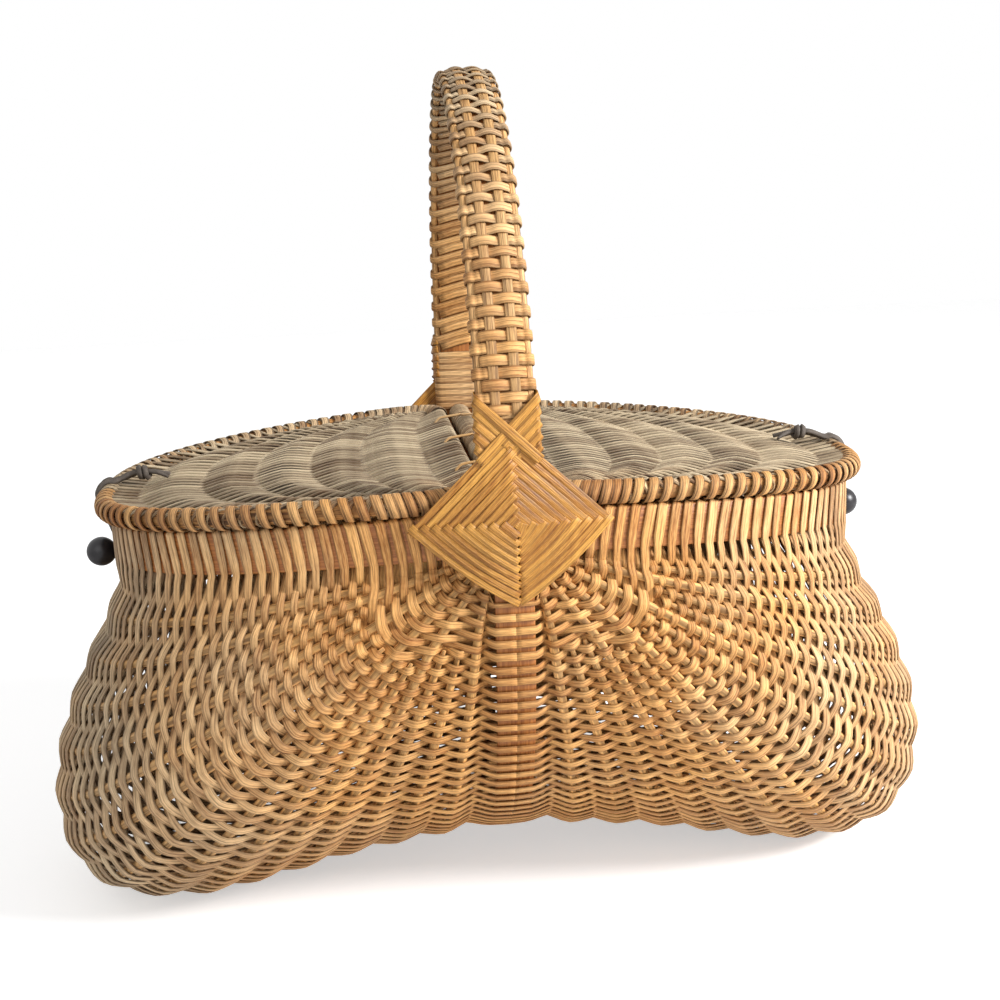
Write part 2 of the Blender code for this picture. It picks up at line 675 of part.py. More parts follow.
def lid_ribs(outline, pairs, side):
    """Curved ribs of a lid, from corner to corner, as lines of points into the rod's centre."""
    lines = []
    for k in range(1, LID_RIBS + 1):
        line = [lid_point(pair, k / (LID_RIBS + 1)) for pair in pairs]
        front = rod_point(outline, line[0].x) - Vector((0, 0, LID_RIB_DIAMETER / 2))
        back = Vector((front.x, -front.y, front.z))
        lines.append([Vector((p.x * side, p.y, p.z)) for p in (front, *line[1:-1], back)])
    return lines


def lid_panel_rows(pairs, side):
    """Points of a lid's woven panel, high over each rib and low between them."""
    columns = 2 * (LID_RIBS + 1)
    lift = LID_RIB_DIAMETER / 2 + FIT + LID_WEAVE_THICK / 2
    rows = []
    for c in range(columns + 1):
        line = [lid_point(pair, c / columns) for pair in pairs]
        row = []
        for i, ((near, far), p) in enumerate(zip(pairs, line)):
            along = line[min(i + 1, len(line) - 1)] - line[max(i - 1, 0)]
            pitch = spacing((far - near) / (LID_RIBS + 1), along)
            dip = min(LID_SCALLOP_DEPTH, SCALLOP_SLOPE_SHARE * pitch / 2) if c % 2 else 0.0
            row.append(Vector((p.x * side, p.y, p.z + lift - dip)))
        rows.append(row)
    return rows


def hang(obj, hinge):
    """Let a lid's piece turn with the hinge, where it already lies in its place."""
    obj.parent = hinge
    obj.matrix_parent_inverse = Matrix.Translation(hinge.location).inverted()
    return obj


def lid_hinges(parts):
    """An empty on each lid's hinge axis, the middle of its spar."""
    hinges = {}
    for label, side in SIDES:
        hinge = bpy.data.objects.new(f"lid_{label}_hinge", None)
        hinge.location = (side * SPAR_OFFSET, 0.0, LID_HEIGHT)
        parts.objects.link(hinge)
        hinges[label] = hinge
    return hinges


def build_lids(parts, cutters, hinges, reed, rod_reed):
    """Each lid: a bent rod with its curved ribs, a spar and a scalloped woven panel."""
    outline = lid_outline()
    pairs = lid_grid(outline)
    for label, side in SIDES:
        turned = [Vector((p.x * side, p.y, p.z)) for p in outline]
        frame = solid_tube(f"lid_{label}_frame", turned, LID_ROD_DIAMETER, parts, rod_reed, 2)
        frame.data.materials.append(rod_reed)
        for k, line in enumerate(lid_ribs(outline, pairs, side), 1):
            rib = solid_tube(f"lid_{label}_rib_{k}", line, LID_RIB_DIAMETER, cutters, reed)
            rib.hide_render = True
            rib.display_type = "WIRE"
            joint = frame.modifiers.new(f"rib {k}", "BOOLEAN")
            joint.operation = "UNION"
            joint.object = rib
        end = abs(outline[0].y) - FIT
        ends = [Vector((side * SPAR_OFFSET, y, LID_HEIGHT)) for y in (-end, end)]
        spar = tube(f"lid_{label}_spar", ends, SPAR_DIAMETER, parts, rod_reed, 3)
        panel = surface(f"lid_{label}_weaving", lid_panel_rows(pairs, side), parts, reed)
        solidify(panel, LID_WEAVE_THICK, 0, even=False)
        for piece in (frame, spar, panel):
            hang(piece, hinges[label])


def build_bar(parts, wood, reed):
    """The bar under the handle with its winding, one unbroken reed."""
    end = hoop_outer_depth(BAR_HEIGHT + BAR_DIAMETER / 2) - HOOP_THICK - 2 * FIT
    tube("center_bar", [Vector((0, -end, BAR_HEIGHT)), Vector((0, end, BAR_HEIGHT))],
         BAR_DIAMETER, parts, wood)
    radius = WINDING_RADIUS
    reach = end - BAR_WINDING_MARGIN
    count = BAR_WINDING_LOOPS * BAR_WINDING_POINTS
    points = []
    for k in range(count + 1):
        angle = 2 * math.pi * k / BAR_WINDING_POINTS
        points.append(Vector((radius * math.cos(angle), -reach + 2 * reach * k / count,
                              BAR_HEIGHT + radius * math.sin(angle))))
    tube("center_bar_winding", points, BAR_WINDING_DIAMETER, parts, reed)
    apart = range(BAR_WINDING_POINTS // 2, count + 1)
    least = min((points[0] - points[k]).length for k in apart) - BAR_WINDING_DIAMETER
    print("winding: least gap to itself", round(least * 1000, 2), "mm")


def tie_path(y):
    """A turn round both spars and over and under the bar, its ends beside each other."""
    radius = SPAR_DIAMETER / 2 + FIT + TIE_DIAMETER / 2
    over = BAR_HEIGHT + BAR_OUTER + FIT + TIE_DIAMETER / 2
    under = BAR_HEIGHT - BAR_OUTER - FIT - TIE_DIAMETER / 2
    turn = [math.pi / 2 - math.pi * k / TIE_ARC_STEPS for k in range(TIE_ARC_STEPS + 1)]
    right = [(SPAR_OFFSET + radius * math.cos(a), LID_HEIGHT + radius * math.sin(a)) for a in turn]
    left = [(-x, z) for x, z in reversed(right)]
    rest = BAR_OUTER / 2
    path = [(-rest, over), (rest, over), *right, (rest, under), (-rest, under), *left, (-rest, over)]
    last = len(path) - 1
    return [Vector((x, y + TIE_ADVANCE * k / last, z)) for k, (x, z) in enumerate(path)]


def build_ties(parts, reed):
    """Reeds tied round the bar and both spars, which turn in them."""
    for k, y in enumerate(TIE_PLACES, 1):
        tube(f"hinge_tie_{k}", tie_path(y), TIE_DIAMETER, parts, reed)


def build_balls(parts, dark):
    """A turned ball on a stem at each end of the rim."""
    ball_height = LID_HEIGHT - BALL_DROP
    radius, stem = BALL_DIAMETER / 2, BALL_STEM_DIAMETER / 2
    neck = math.asin(stem / radius)
    for label, side in SIDES:
        outline = [Vector((radius * math.sin(a), 0, radius * math.cos(a)))
                   for a in (k * (math.pi - neck) / BALL_RINGS for k in range(BALL_RINGS + 1))]
        outline.append(Vector((stem, 0, -radius - BALL_STEM_LENGTH)))
        outline.append(Vector((0, 0, -radius - BALL_STEM_LENGTH)))
        mesh = bpy.data.meshes.new(f"ball_{label}")
        edges = [(k, k + 1) for k in range(len(outline) - 1)]
        mesh.from_pydata(outline, edges, [])
        ball = place(bpy.data.objects.new(f"ball_{label}", mesh), parts, dark)
        turn = ball.modifiers.new("turn", "SCREW")
        turn.steps = turn.render_steps = BALL_STEPS
        turn.use_merge_vertices = True
        turn.merge_threshold = WELD
        turn.use_normal_calculate = True
        ball.rotation_euler = (0.0, side * math.pi / 2, 0.0)
        ball.location = (side * BALL_CENTRE, 0.0, ball_height)


def lace_knot(knot_x, floor):
    """The knot on a lid: one end coils round the other, and both tails lie on the panel."""
    radius = LACE_DIAMETER + 2 * FIT
    axis_z = floor + radius + LACE_DIAMETER / 2
    half = KNOT_PITCH * KNOT_TURNS / 2
    count = KNOT_TURNS * KNOT_POINTS
    coil = []
    for k in range(count + 1):
        a = 2 * math.pi * k / KNOT_POINTS
        coil.append((knot_x + half - 2 * half * k / count, radius * math.cos(a),
                     axis_z + radius * math.sin(a)))
    low = floor + LACE_DIAMETER / 2 + FIT
    tail = (knot_x - half - LACE_TAIL, 2 * radius, low)
    core = [(knot_x + half + LACE_DIAMETER, 0.0, axis_z), (knot_x - half - LACE_DIAMETER, 0.0, axis_z),
            (knot_x - half - LACE_TAIL, -radius, low)]
    return coil, tail, core


def build_laces(parts, hinges, leather):
    """A lace from a knot on each lid, over the rod, round the ball's stem and back."""
    rod_x, rod_z = LID_ROD_LENGTH, LID_HEIGHT - sag(LID_ROD_LENGTH) + sag(SPAR_OFFSET)
    clear = (LID_ROD_DIAMETER + LACE_DIAMETER) / 2 + FIT
    ball_z = LID_HEIGHT - BALL_DROP
    behind = BOUND_RIM_LENGTH + LACE_DIAMETER / 2 + 2 * FIT
    under = (BALL_STEM_DIAMETER + LACE_DIAMETER) / 2 + 2 * FIT
    knot_x = rod_x - KNOT_INSET
    panel_top = LID_RIB_DIAMETER / 2 + FIT + LID_WEAVE_THICK
    knot_floor = LID_HEIGHT - sag(knot_x) + sag(SPAR_OFFSET) + panel_top + 2 * FIT
    coil, tail, core = lace_knot(knot_x, knot_floor)
    spread, drop, out = LACE_HALF_SPREAD, rod_z - ball_z, rod_x + clear - behind
    down = [(rod_x + clear * math.cos(math.radians(a)), spread * b, rod_z + clear * math.sin(math.radians(a)))
            for a, b in LACE_OVER_SHARES]
    down += [(behind + out * a, spread, rod_z - drop * b) for a, b in LACE_FALL_SHARES]
    down += [(behind, spread * a, ball_z + under * b) for a, b in LACE_LOOP_SHARES]
    up = [(x, -y, z) for x, y, z in reversed(down)]
    path = [tail, *reversed(coil), *down, (behind, 0.0, ball_z - under - FIT), *up, *core]
    for label, side in SIDES:
        points = [Vector((x * side, y, z)) for x, y, z in path]
        lace = tube(f"lid_{label}_lace", points, LACE_DIAMETER, parts, leather, 0)
        hang(lace, hinges[label])


def main():
    for obj in list(bpy.data.objects):
        bpy.data.objects.remove(obj)
    parts = bpy.data.collections.new("buttocks_basket")
    cutters = bpy.data.collections.new("cutters")
    for collection in (parts, cutters):
        bpy.context.scene.collection.children.link(collection)
    wood = material("oak hoop wood", (0.36, 0.13, 0.035), 0.55)
    reed = material("golden reed", (0.56, 0.31, 0.11), 0.6)
    rod_reed = material("weathered reed binding", (0.43, 0.29, 0.14), 0.7)
    dark = material("black stained wood", (0.012, 0.011, 0.012), 0.35)
    leather = material("grey leather lace", (0.10, 0.09, 0.075), 0.7)
    section = lobe_section()
    build_hoops(parts, wood, reed)
    build_handle(parts, reed)
    build_ears(parts, reed)
    build_ribs(section, parts, reed)
    build_walls(section, parts, cutters, reed)
    hinges = lid_hinges(parts)
    build_lids(parts, cutters, hinges, reed, rod_reed)
    build_bar(parts, wood, reed)
    build_ties(parts, reed)
    build_balls(parts, dark)
    build_laces(parts, hinges, leather)


main()
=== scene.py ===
"""Dresses the lidded buttocks basket: woven reed walls, lids, handle and ears.

Metres, +Z up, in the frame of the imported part. Every woven piece is made of
single reeds that run over and under the ribs, as a basket maker lays them.
"""

import math
import random

import bpy
import numpy as np
from mathutils import Matrix, Vector


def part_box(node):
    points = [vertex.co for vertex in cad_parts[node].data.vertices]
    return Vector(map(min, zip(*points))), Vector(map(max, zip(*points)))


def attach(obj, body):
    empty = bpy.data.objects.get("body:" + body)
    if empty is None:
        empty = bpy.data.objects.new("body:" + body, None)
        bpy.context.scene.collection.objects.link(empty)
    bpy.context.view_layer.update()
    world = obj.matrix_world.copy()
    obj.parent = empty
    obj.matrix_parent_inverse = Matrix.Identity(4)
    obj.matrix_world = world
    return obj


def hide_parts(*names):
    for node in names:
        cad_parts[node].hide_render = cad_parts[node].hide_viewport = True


bl_info = {
    "name": "Lidded Buttocks Basket",
    "version": (1, 0, 0),
    "blender": (4, 5, 0),
    "location": "3D View > Sidebar > Basket",
    "description": "Weaves the reeds of a lidded buttocks basket round its frame",
    "category": "Add Mesh",
}

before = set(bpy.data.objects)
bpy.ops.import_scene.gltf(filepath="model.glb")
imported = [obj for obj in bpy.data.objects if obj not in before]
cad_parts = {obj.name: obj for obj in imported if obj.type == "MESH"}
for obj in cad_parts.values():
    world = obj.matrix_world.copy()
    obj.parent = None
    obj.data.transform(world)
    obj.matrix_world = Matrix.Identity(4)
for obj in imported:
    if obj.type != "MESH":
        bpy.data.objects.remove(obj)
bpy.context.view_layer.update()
UP = np.array((0.0, 0.0, 1.0))
SIDES = (("left", -1), ("right", 1))
ENDS = (("front", -1), ("back", 1))

# Places in the photograph's camera, metres
CAMERA_PLACE = (-0.0707, -0.7882, 0.3905)
CAMERA_FORWARD = (0.1012, 0.9722, -0.2113)
CAMERA_ROLL = math.radians(-2.51)
CAMERA_LENS = 47.58

# Hoops, as the frame has them
EAR_HEIGHT = 0.245
HOOP_HALF_DEPTH = 0.1615
HOOP_RISE = 0.2255
HOOP_DROP = 0.218
HOOP_WIDTH = 0.020
HOOP_THICK = 0.005
HOOP_UPPER_POWER = 1.92
HOOP_LOWER_POWER = 2.35
RIM_HALF_LENGTH = 0.2158
RIM_HALF_DEPTH = 0.1544
RIM_TOP = 0.2465
RIM_HEIGHT = 0.022
RIM_THICK = 0.005
RIM_LENGTH_POWER = 2.0
RIM_DEPTH_POWER = 2.7
RIM_SAG = 0.015
SAG_POWER = 1.5

# Lobes, as the frame has them
RIBS = 14
RIB_DIAMETER = 0.005
LOBE_REACH = 0.2590
SPINE_EDGE = 0.0103
WALL_OFFSET = 0.0041
WALL_THICK = 0.002
FLAT_HALF_DEPTH = 0.034
WALL_PUSH = 0.0010
SPINE_PUSH = 0.0023
NEAR_EAR_SHARE = 0.28
RIM_RIB_POWER = 2.6
MIDDLE_RIB_POWER = 2.4
LOBE_SHOULDER_SHARES = ((0.157, 0.857), (0.600, 0.650), (0.912, 0.449))
LOBE_BELLY_SHARES = (
    (1.000, 0.267), (0.968, 0.110), (0.875, 0.020), (0.715, 0.000),
    (0.550, 0.035), (0.386, 0.080), (0.193, 0.121),
)

# Ears, as the frame has them
EAR_HALF_WIDTH = 0.050
EAR_UP = 0.048
EAR_DOWN = 0.039
EAR_SWEEP = 0.004
EAR_MIDDLE = EAR_HEIGHT - 0.004

# Lids, bar and closures, as the frame has them
LID_HEIGHT = 0.254
ROD_DIAMETER = 0.012
ROD_LENGTH = 0.219
ROD_DEPTH = 0.1536
LID_CORNER = 0.0295
LID_CORNER_DROP = 0.0236
SPAR_DIAMETER = 0.010
SPAR_OFFSET = 0.0155
LID_RIBS = 5
LID_RIB_DIAMETER = 0.004
PANEL_START = 0.0233
BAR_HEIGHT = 0.2525
BAR_OUTER = 0.0077
TIE_PLACES = (-0.094, -0.006, 0.078)
BALL_DIAMETER = 0.0174
BALL_STEM = 0.005
BALL_STEM_LENGTH = 0.003
BALL_DROP = 0.050
LACE_DIAMETER = 0.0026
FIT = 0.0003

# The reeds' own places, read off the photograph
HOOP_POINTS = 240
SPINE_TURN = 1.045
LINE_POINTS = 60
LASHINGS = 5
LASHING_TOP = 0.0575
LASHING_PITCH = 0.0058
LASHING_EDGE = 0.0152
EAR_SPLINT_THICK = 0.0008
EAR_LIFT = 0.0016
EAR_CROWN = 0.0021
EAR_PAST = 0.0022
HANDLE_START = 0.050
HANDLE_FOOT = 0.010
HANDLE_POINTS = 200
EDGE_REED_PLACE = 0.0123
EDGE_REED_SIZE = (0.0046, 0.0042)
SPLINT_PLACE = 0.0052
SPLINT_SIZE = (0.0050, 0.0016)
FOOT_TURNS = 9
FOOT_PITCH = 0.0047
FOOT_START = 0.0026
CORNER_REACH = 0.058
CORNER_PITCH = 0.0052
ROD_PITCH = 0.0084
ROD_REED = (0.0052, 0.0010)
BAR_PITCH = 0.0046
BAR_REED = (0.0050, 0.0013)
TIE_REED = (0.0030, 0.0014)
KNOT_INSET = 0.019
KNOT_HALF = 0.0034
KNOT_POINTS = 7
LACE_TAIL = 0.011
LACE_SPREAD = 0.0046

# Studio: lamps as name, place, size and watts
LAMPS = (("key", (1.45, -0.85, 1.05), 0.6, 54.0), ("fill", (-0.7, -1.4, 1.1), 1.4, 5.0))
LAMP_GOAL = (0.0, 0.0, 0.15)
WORLD_LIGHT = 0.52
FLOOR_GLOW = 0.49
FLOOR_SIZE = 8.0
SENSOR = 36.0

# Sections of a reed in shares of its width and thickness, anticlockwise
FLAT_REED = ((0.5, 0.0), (0.45, 0.38), (0.27, 0.5), (-0.27, 0.5),
             (-0.45, 0.38), (-0.5, 0.0), (-0.40, -0.42), (0.40, -0.42))
SPLINT = ((0.5, -0.30), (0.5, 0.28), (0.44, 0.5), (-0.44, 0.5), (-0.5, 0.28), (-0.5, -0.30),
          (-0.44, -0.5), (0.44, -0.5))
PLANED = ((0.5, -0.36), (0.5, 0.36), (0.47, 0.5), (-0.47, 0.5), (-0.5, 0.36), (-0.5, -0.36),
          (-0.47, -0.5), (0.47, -0.5))


def round_section(count):
    """A round section with as many corners."""
    angles = [2 * math.pi * k / count for k in range(count)]
    return tuple((0.5 * math.cos(a), 0.5 * math.sin(a)) for a in angles)


ROUND_REED = round_section(10)


def hex_colour(text):
    """Linear red, green and blue of an sRGB hex colour."""
    shares = [int(text[k:k + 2], 16) / 255 for k in (1, 3, 5)]
    return tuple(s / 12.92 if s <= 0.04045 else ((s + 0.055) / 1.055) ** 2.4 for s in shares)


def length_property(name, text, default):
    """A length that a user may change."""
    return bpy.props.FloatProperty(name=name, description=text, default=default, min=0.0,
                                   unit="LENGTH")


def count_property(name, text, default, least=0):
    """A whole number that a user may change."""
    return bpy.props.IntProperty(name=name, description=text, default=default, min=least)


def colour_property(name, text, default):
    """A colour that a user may change, from its hex value."""
    return bpy.props.FloatVectorProperty(name=name, description=text, default=hex_colour(default),
                                         subtype="COLOR", min=0.0, max=1.0)


class BasketWeave(bpy.types.PropertyGroup):
    """Sizes and counts of the weaving."""

    rows: count_property("Rows", "Weaver rows from an ear to the middle of a lobe", 76, 8)
    reed_width: length_property("Reed width", "Widest flat oval reed in the walls", 0.0058)
    reed_thick: length_property("Reed thickness", "Thickness of the flat oval reed", 0.0011)
    rim_reed_width: length_property("Rim reed width", "Reed turned over the rim", 0.0056)
    lid_rows: count_property("Lid rows", "Weaver rows across a lid", 112, 8)
    lid_reed_width: length_property("Lid reed width", "Widest reed in the lids", 0.0062)
    lid_reed_thick: length_property("Lid reed thickness", "Reed in the lids", 0.0014)
    handle_pitch: length_property("Handle pitch", "Step between turns on the handle", 0.0060)
    handle_reed_width: length_property("Handle reed width", "Reed on the handle", 0.0058)
    ear_rounds: count_property("Ear rounds", "Rounds of reed on an ear", 9, 3)
    seed: count_property("Seed", "Seed of the small irregularities", 7)


class BasketFinish(bpy.types.PropertyGroup):
    """Colours of the finishes."""

    reed_light: colour_property("Reed, light", "Sunlit golden reed", "#F7BE74")
    reed_dark: colour_property("Reed, dark", "Brown reed in the grain lines", "#96551A")
    ear_light: colour_property("Ear splint, light", "Golden splint of the ears", "#FFBC5A")
    ear_dark: colour_property("Ear splint, dark", "Brown grain of the ear splint", "#A65E18")
    reed_old: colour_property("Reed, weathered", "Weathered grey reed", "#E2CCA8")
    reed_old_dark: colour_property("Reed, weathered grain", "Grain of the grey reed", "#6A4E32")
    wood_light: colour_property("Wood, light", "Oiled hoop wood", "#B8763A")
    wood_dark: colour_property("Wood, dark", "Grain of the hoop wood", "#7E451C")
    ball: colour_property("Ball", "Black stained turned wood", "#141115")
    lace: colour_property("Lace", "Grey leather of the laces", "#5A5149")
    floor: colour_property("Floor", "Pale studio floor", "#EEEEEE")


# Curves of the basket


def power(value, exponent):
    """A signed power, for the rounded-square curves of the hoops and ribs."""
    return np.sign(value) * np.abs(value) ** exponent


def sag(x):
    """How far the rim and the lids dip towards the two ends."""
    return RIM_SAG * (np.abs(x) / RIM_HALF_LENGTH) ** SAG_POWER


def unit(vectors):
    """Vectors of length one."""
    vectors = np.asarray(vectors, float)
    return vectors / np.maximum(np.linalg.norm(vectors, axis=-1, keepdims=True), 1e-12)


def run_of(line):
    """Length along a line at each of its points."""
    steps = np.linalg.norm(np.diff(line, axis=0), axis=1)
    return np.concatenate([[0.0], np.cumsum(steps)])


def place_at(at, run, values):
    """What the points of a line hold at lengths along it."""
    return np.stack([np.interp(at, run, values[:, k]) for k in range(3)], axis=-1)


def even(line, shares):
    """Points at shares of a line's length."""
    run = run_of(line)
    return place_at(np.asarray(shares) * run[-1], run, line)


def across(points, steps):
    """A Catmull-Rom curve through the points, with as many steps in each span."""
    p = np.asarray(points, float)
    p = np.concatenate([2 * p[:1] - p[1:2], p, 2 * p[-1:] - p[-2:-1]])
    u = np.linspace(0.0, 1.0, steps, endpoint=False)[:, None]
    spans = [0.5 * (2 * b + (c - a) * u + (2 * a - 5 * b + 4 * c - d) * u ** 2
                    + (3 * b - a - 3 * c + d) * u ** 3)
             for a, b, c, d in zip(p, p[1:], p[2:], p[3:])]
    return np.concatenate([*spans, p[-2:-1]])


def smooth(points, count):
    """Evenly spaced points on a curve through the points."""
    return even(across(points, 12), np.linspace(0.0, 1.0, count))


def hoop_points(angles, inset=0.0):
    """Points of the handle hoop's outer face in the plane x = 0, moved in by an inset."""
    angles = np.asarray(angles, float)
    upper = np.sin(angles) >= 0
    rise = np.where(upper, HOOP_RISE, HOOP_DROP) - inset
    exponent = np.where(upper, 2 / HOOP_UPPER_POWER, 2 / HOOP_LOWER_POWER)
    y = (HOOP_HALF_DEPTH - inset) * power(np.cos(angles), exponent)
    z = EAR_HEIGHT + rise * power(np.sin(angles), exponent)
    return np.stack([np.zeros_like(y), y, z], axis=1)


def hoop_line(angles):
    """The hoop's centre line and its outward directions."""
    out = unit(hoop_points(angles, -0.001) - hoop_points(angles, 0.001))
    return hoop_points(angles, HOOP_THICK / 2), out


def handle_line(height):
    """The handle's centre line and outward directions, from a height over the ears."""
    start = math.asin((height / HOOP_RISE) ** (HOOP_UPPER_POWER / 2))
    line, out = hoop_line(np.linspace(start, math.pi - start, HANDLE_POINTS))
    return line[::-1], out[::-1]


def hoop_outer_depth(z):
    """Half depth of the hoop's outer face at a height."""
    above = z >= EAR_HEIGHT
    exponent = HOOP_UPPER_POWER if above else HOOP_LOWER_POWER
    share = min(1.0, abs(z - EAR_HEIGHT) / (HOOP_RISE if above else HOOP_DROP))
    return HOOP_HALF_DEPTH * (1.0 - share ** exponent) ** (1.0 / exponent)


def rim_points(angles, inset=0.0):
    """Points of the rim's outer face at its top edge, moved in by an inset."""
    angles = np.asarray(angles, float)
    x = (RIM_HALF_LENGTH - inset) * power(np.cos(angles), 2 / RIM_LENGTH_POWER)
    y = (RIM_HALF_DEPTH - inset) * power(np.sin(angles), 2 / RIM_DEPTH_POWER)
    return np.stack([x, y, RIM_TOP - sag(x)], axis=1)


def lobe_section():
    """Rib centres across the middle of a lobe, from the rim to the spine's edge."""
    low = WALL_OFFSET + WALL_THICK / 2 - 0.0005
    top = RIM_TOP - RIM_HEIGHT - RIM_SAG - FIT
    begin = RIM_HALF_LENGTH - RIM_THICK / 2 - WALL_OFFSET
    points = [(begin, 0.0, top)]
    points += [(begin + (LOBE_REACH - begin) * a, 0.0, low + (top - low) * b)
               for a, b in LOBE_SHOULDER_SHARES]
    points += [(LOBE_REACH * a, 0.0, low + (top - low) * b) for a, b in LOBE_BELLY_SHARES]
    points.append((SPINE_EDGE, 0.0, EAR_HEIGHT - HOOP_DROP + HOOP_THICK / 2 + WALL_OFFSET))
    return smooth(points, 2 * (RIBS + 1) + 1)


def between(share, rim_value, middle_value, spine_value):
    """A value that changes from the rim to the middle and on to the spine."""
    return float(np.interp(share, (0.0, 0.5, 1.0), (rim_value, middle_value, spine_value)))


def ear_side(share):
    """Where the wall leaves the ear, down the lower edge of its diamond: x and z."""
    widest = EAR_HALF_WIDTH * (1 - (EAR_HEIGHT - RIM_TOP + RIM_HEIGHT) / EAR_DOWN)
    x = widest + (SPINE_EDGE + WALL_THICK / 4 - widest) * share
    return x, EAR_HEIGHT - EAR_DOWN * (1 - x / EAR_HALF_WIDTH) - WALL_THICK


def lobe_line(section, column):
    """The line of rib centres at a column, from the ear to the middle of the lobe."""
    last = len(section) - 1
    share = column / last
    if column == 0:
        angles = -np.linspace(math.acos(ear_side(0.0)[0] / RIM_HALF_LENGTH), 0.0, LINE_POINTS)
        return rim_points(angles, RIM_THICK / 2) - UP * RIM_HEIGHT
    if column == last:
        angles = np.linspace(math.pi * SPINE_TURN, math.pi * 1.5, LINE_POINTS)
        return hoop_points(angles, HOOP_THICK / 2) + np.array((SPINE_EDGE, 0.0, 0.0))
    middle = section[column]
    at_rim = RIM_HALF_DEPTH - RIM_THICK / 2 - WALL_OFFSET
    depth = at_rim + (HOOP_HALF_DEPTH - HOOP_THICK / 2 - WALL_OFFSET - at_rim) * share
    squareness = between(share, RIM_DEPTH_POWER, MIDDLE_RIB_POWER, HOOP_LOWER_POWER)
    exponent = 2 / between(share, RIM_RIB_POWER, MIDDLE_RIB_POWER, HOOP_LOWER_POWER)
    full = math.sin(math.acos((FLAT_HALF_DEPTH / depth) ** (squareness / 2)))
    t = np.linspace(math.asin(NEAR_EAR_SHARE ** (1 / exponent)), math.pi / 2, LINE_POINTS)
    reach = np.minimum(1.0, (np.sin(t) / full) ** exponent)
    fan_low = RIM_TOP - RIM_HEIGHT - FIT - RIB_DIAMETER / 2
    fan = fan_low + (EAR_HEIGHT - fan_low) * share
    line = np.stack([SPINE_EDGE + (middle[0] - SPINE_EDGE) * reach,
                     -depth * np.cos(t).clip(0) ** (2 / squareness),
                     fan + (middle[2] - fan) * reach], axis=1)
    x, z = ear_side(share)
    return np.concatenate([across(np.stack([(x, -depth, z), line[0], line[4]]), 8)[:-9], line])


def turned(points, side, end):
    """Points of the front right quarter, turned to another quarter."""
    return np.asarray(points) * np.array((side, -end, 1.0))


# Reeds as meshes


def sweep(points, normals, width, thick, section=FLAT_REED, closed=False, flip=False):
    """One reed laid along points: its vertices, its faces, and its length and width places."""
    points = np.asarray(points, float)
    count = len(points)
    width = np.broadcast_to(width, count)[:, None, None]
    thick = np.broadcast_to(thick, count)[:, None, None]
    if closed:
        tangent = unit(np.roll(points, -1, 0) - np.roll(points, 1, 0))
    else:
        tangent = unit(np.gradient(points, axis=0))
    side = unit(np.cross(tangent, normals))
    up = np.cross(side, tangent)
    shape = np.array(section)
    rings = (points[:, None] + side[:, None] * shape[None, :, :1] * width
             + up[:, None] * shape[None, :, 1:] * thick)
    size = len(shape)
    spans = count if closed else count - 1
    i, j = np.meshgrid(np.arange(spans), np.arange(size), indexing="ij")
    i, j = i.ravel(), j.ravel()
    after, beside = (i + 1) % count, (j + 1) % size
    quads = [i * size + j, after * size + j, after * size + beside, i * size + beside]
    steps = np.linalg.norm(np.diff(points, axis=0, append=points[:1]), axis=1)
    run = np.concatenate([[0.0], np.cumsum(steps)])
    lies = shape[:, 0] * float(width.max()) * (-1 if flip else 1)
    corners = ((i, j), (i + 1, j), (i + 1, beside), (i, beside))
    places = np.stack([np.stack([run[a], lies[b]], 1) for a, b in corners], axis=1)
    # Share of the way from the reed's middle out to its edge; the finish darkens by it as painted
    # shade along the edges
    edge = np.tile(np.abs(shape[:, 0]) * 2, count)
    return {"verts": rings.reshape(-1, 3), "quads": np.stack(quads, axis=1), "places": places,
            "edge": edge, "caps": not closed, "size": size}


def reed(points, normals, width, thick, tint=0.5, age=0.0, **more):
    """A reed with its own tint, from 0 to 1, and its age, from golden 0 to grey 1."""
    made = sweep(points, normals, width, thick, **more)
    count = len(made["verts"])
    made["tint"] = np.broadcast_to(tint, count)
    age = np.asarray(age, float)
    made["age"] = np.repeat(age, made["size"]) if age.ndim else np.full(count, float(age))
    return made


def piece(name, reeds, finish, slot, *replaced, body="basket"):
    """One object made of many reeds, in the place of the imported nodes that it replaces."""
    verts, faces, places, look, start = [], [], [], [], 0
    for part in reeds:
        count, size = len(part["verts"]), part["size"]
        verts.append(part["verts"])
        faces += (part["quads"] + start).tolist()
        places.append(part["places"].reshape(-1, 2))
        if part["caps"]:
            faces += [list(range(start, start + size)),
                      list(range(start + count - 1, start + count - 1 - size, -1))]
            places.append(np.zeros((2 * size, 2)))
        look.append(np.stack([part["tint"], part["age"], part["edge"]], axis=1))
        start += count
    mesh = bpy.data.meshes.new(name)
    mesh.from_pydata(np.concatenate(verts).tolist(), [], faces)
    layer = mesh.uv_layers.new(name="reed")
    layer.data.foreach_set("uv", (np.concatenate(places) * 10).astype(np.float32).ravel())
    attribute = mesh.attributes.new("look", "FLOAT_VECTOR", "POINT")
    attribute.data.foreach_set("vector", np.concatenate(look).astype(np.float32).ravel())
    mesh.shade_smooth()
    mesh.materials.append(finish_of(finish))
    obj = bpy.data.objects.new(name, mesh)
    bpy.context.scene.collection.objects.link(obj)
    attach(obj, body)
    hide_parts(*replaced)


def level_frames(points, start=UP):
    """Normals that turn as little as they can along a line."""
    tangents = unit(np.gradient(np.asarray(points, float), axis=0))
    normal = np.asarray(start, float)
    normals = []
    for tangent in tangents:
        normal = normal - tangent * np.dot(normal, tangent)
        if np.linalg.norm(normal) < 1e-6:
            normal = np.cross(tangent, (1.0, 0.0, 0.0))
        normal = unit(normal)
        normals.append(normal)
    return np.array(normals)


# Materials


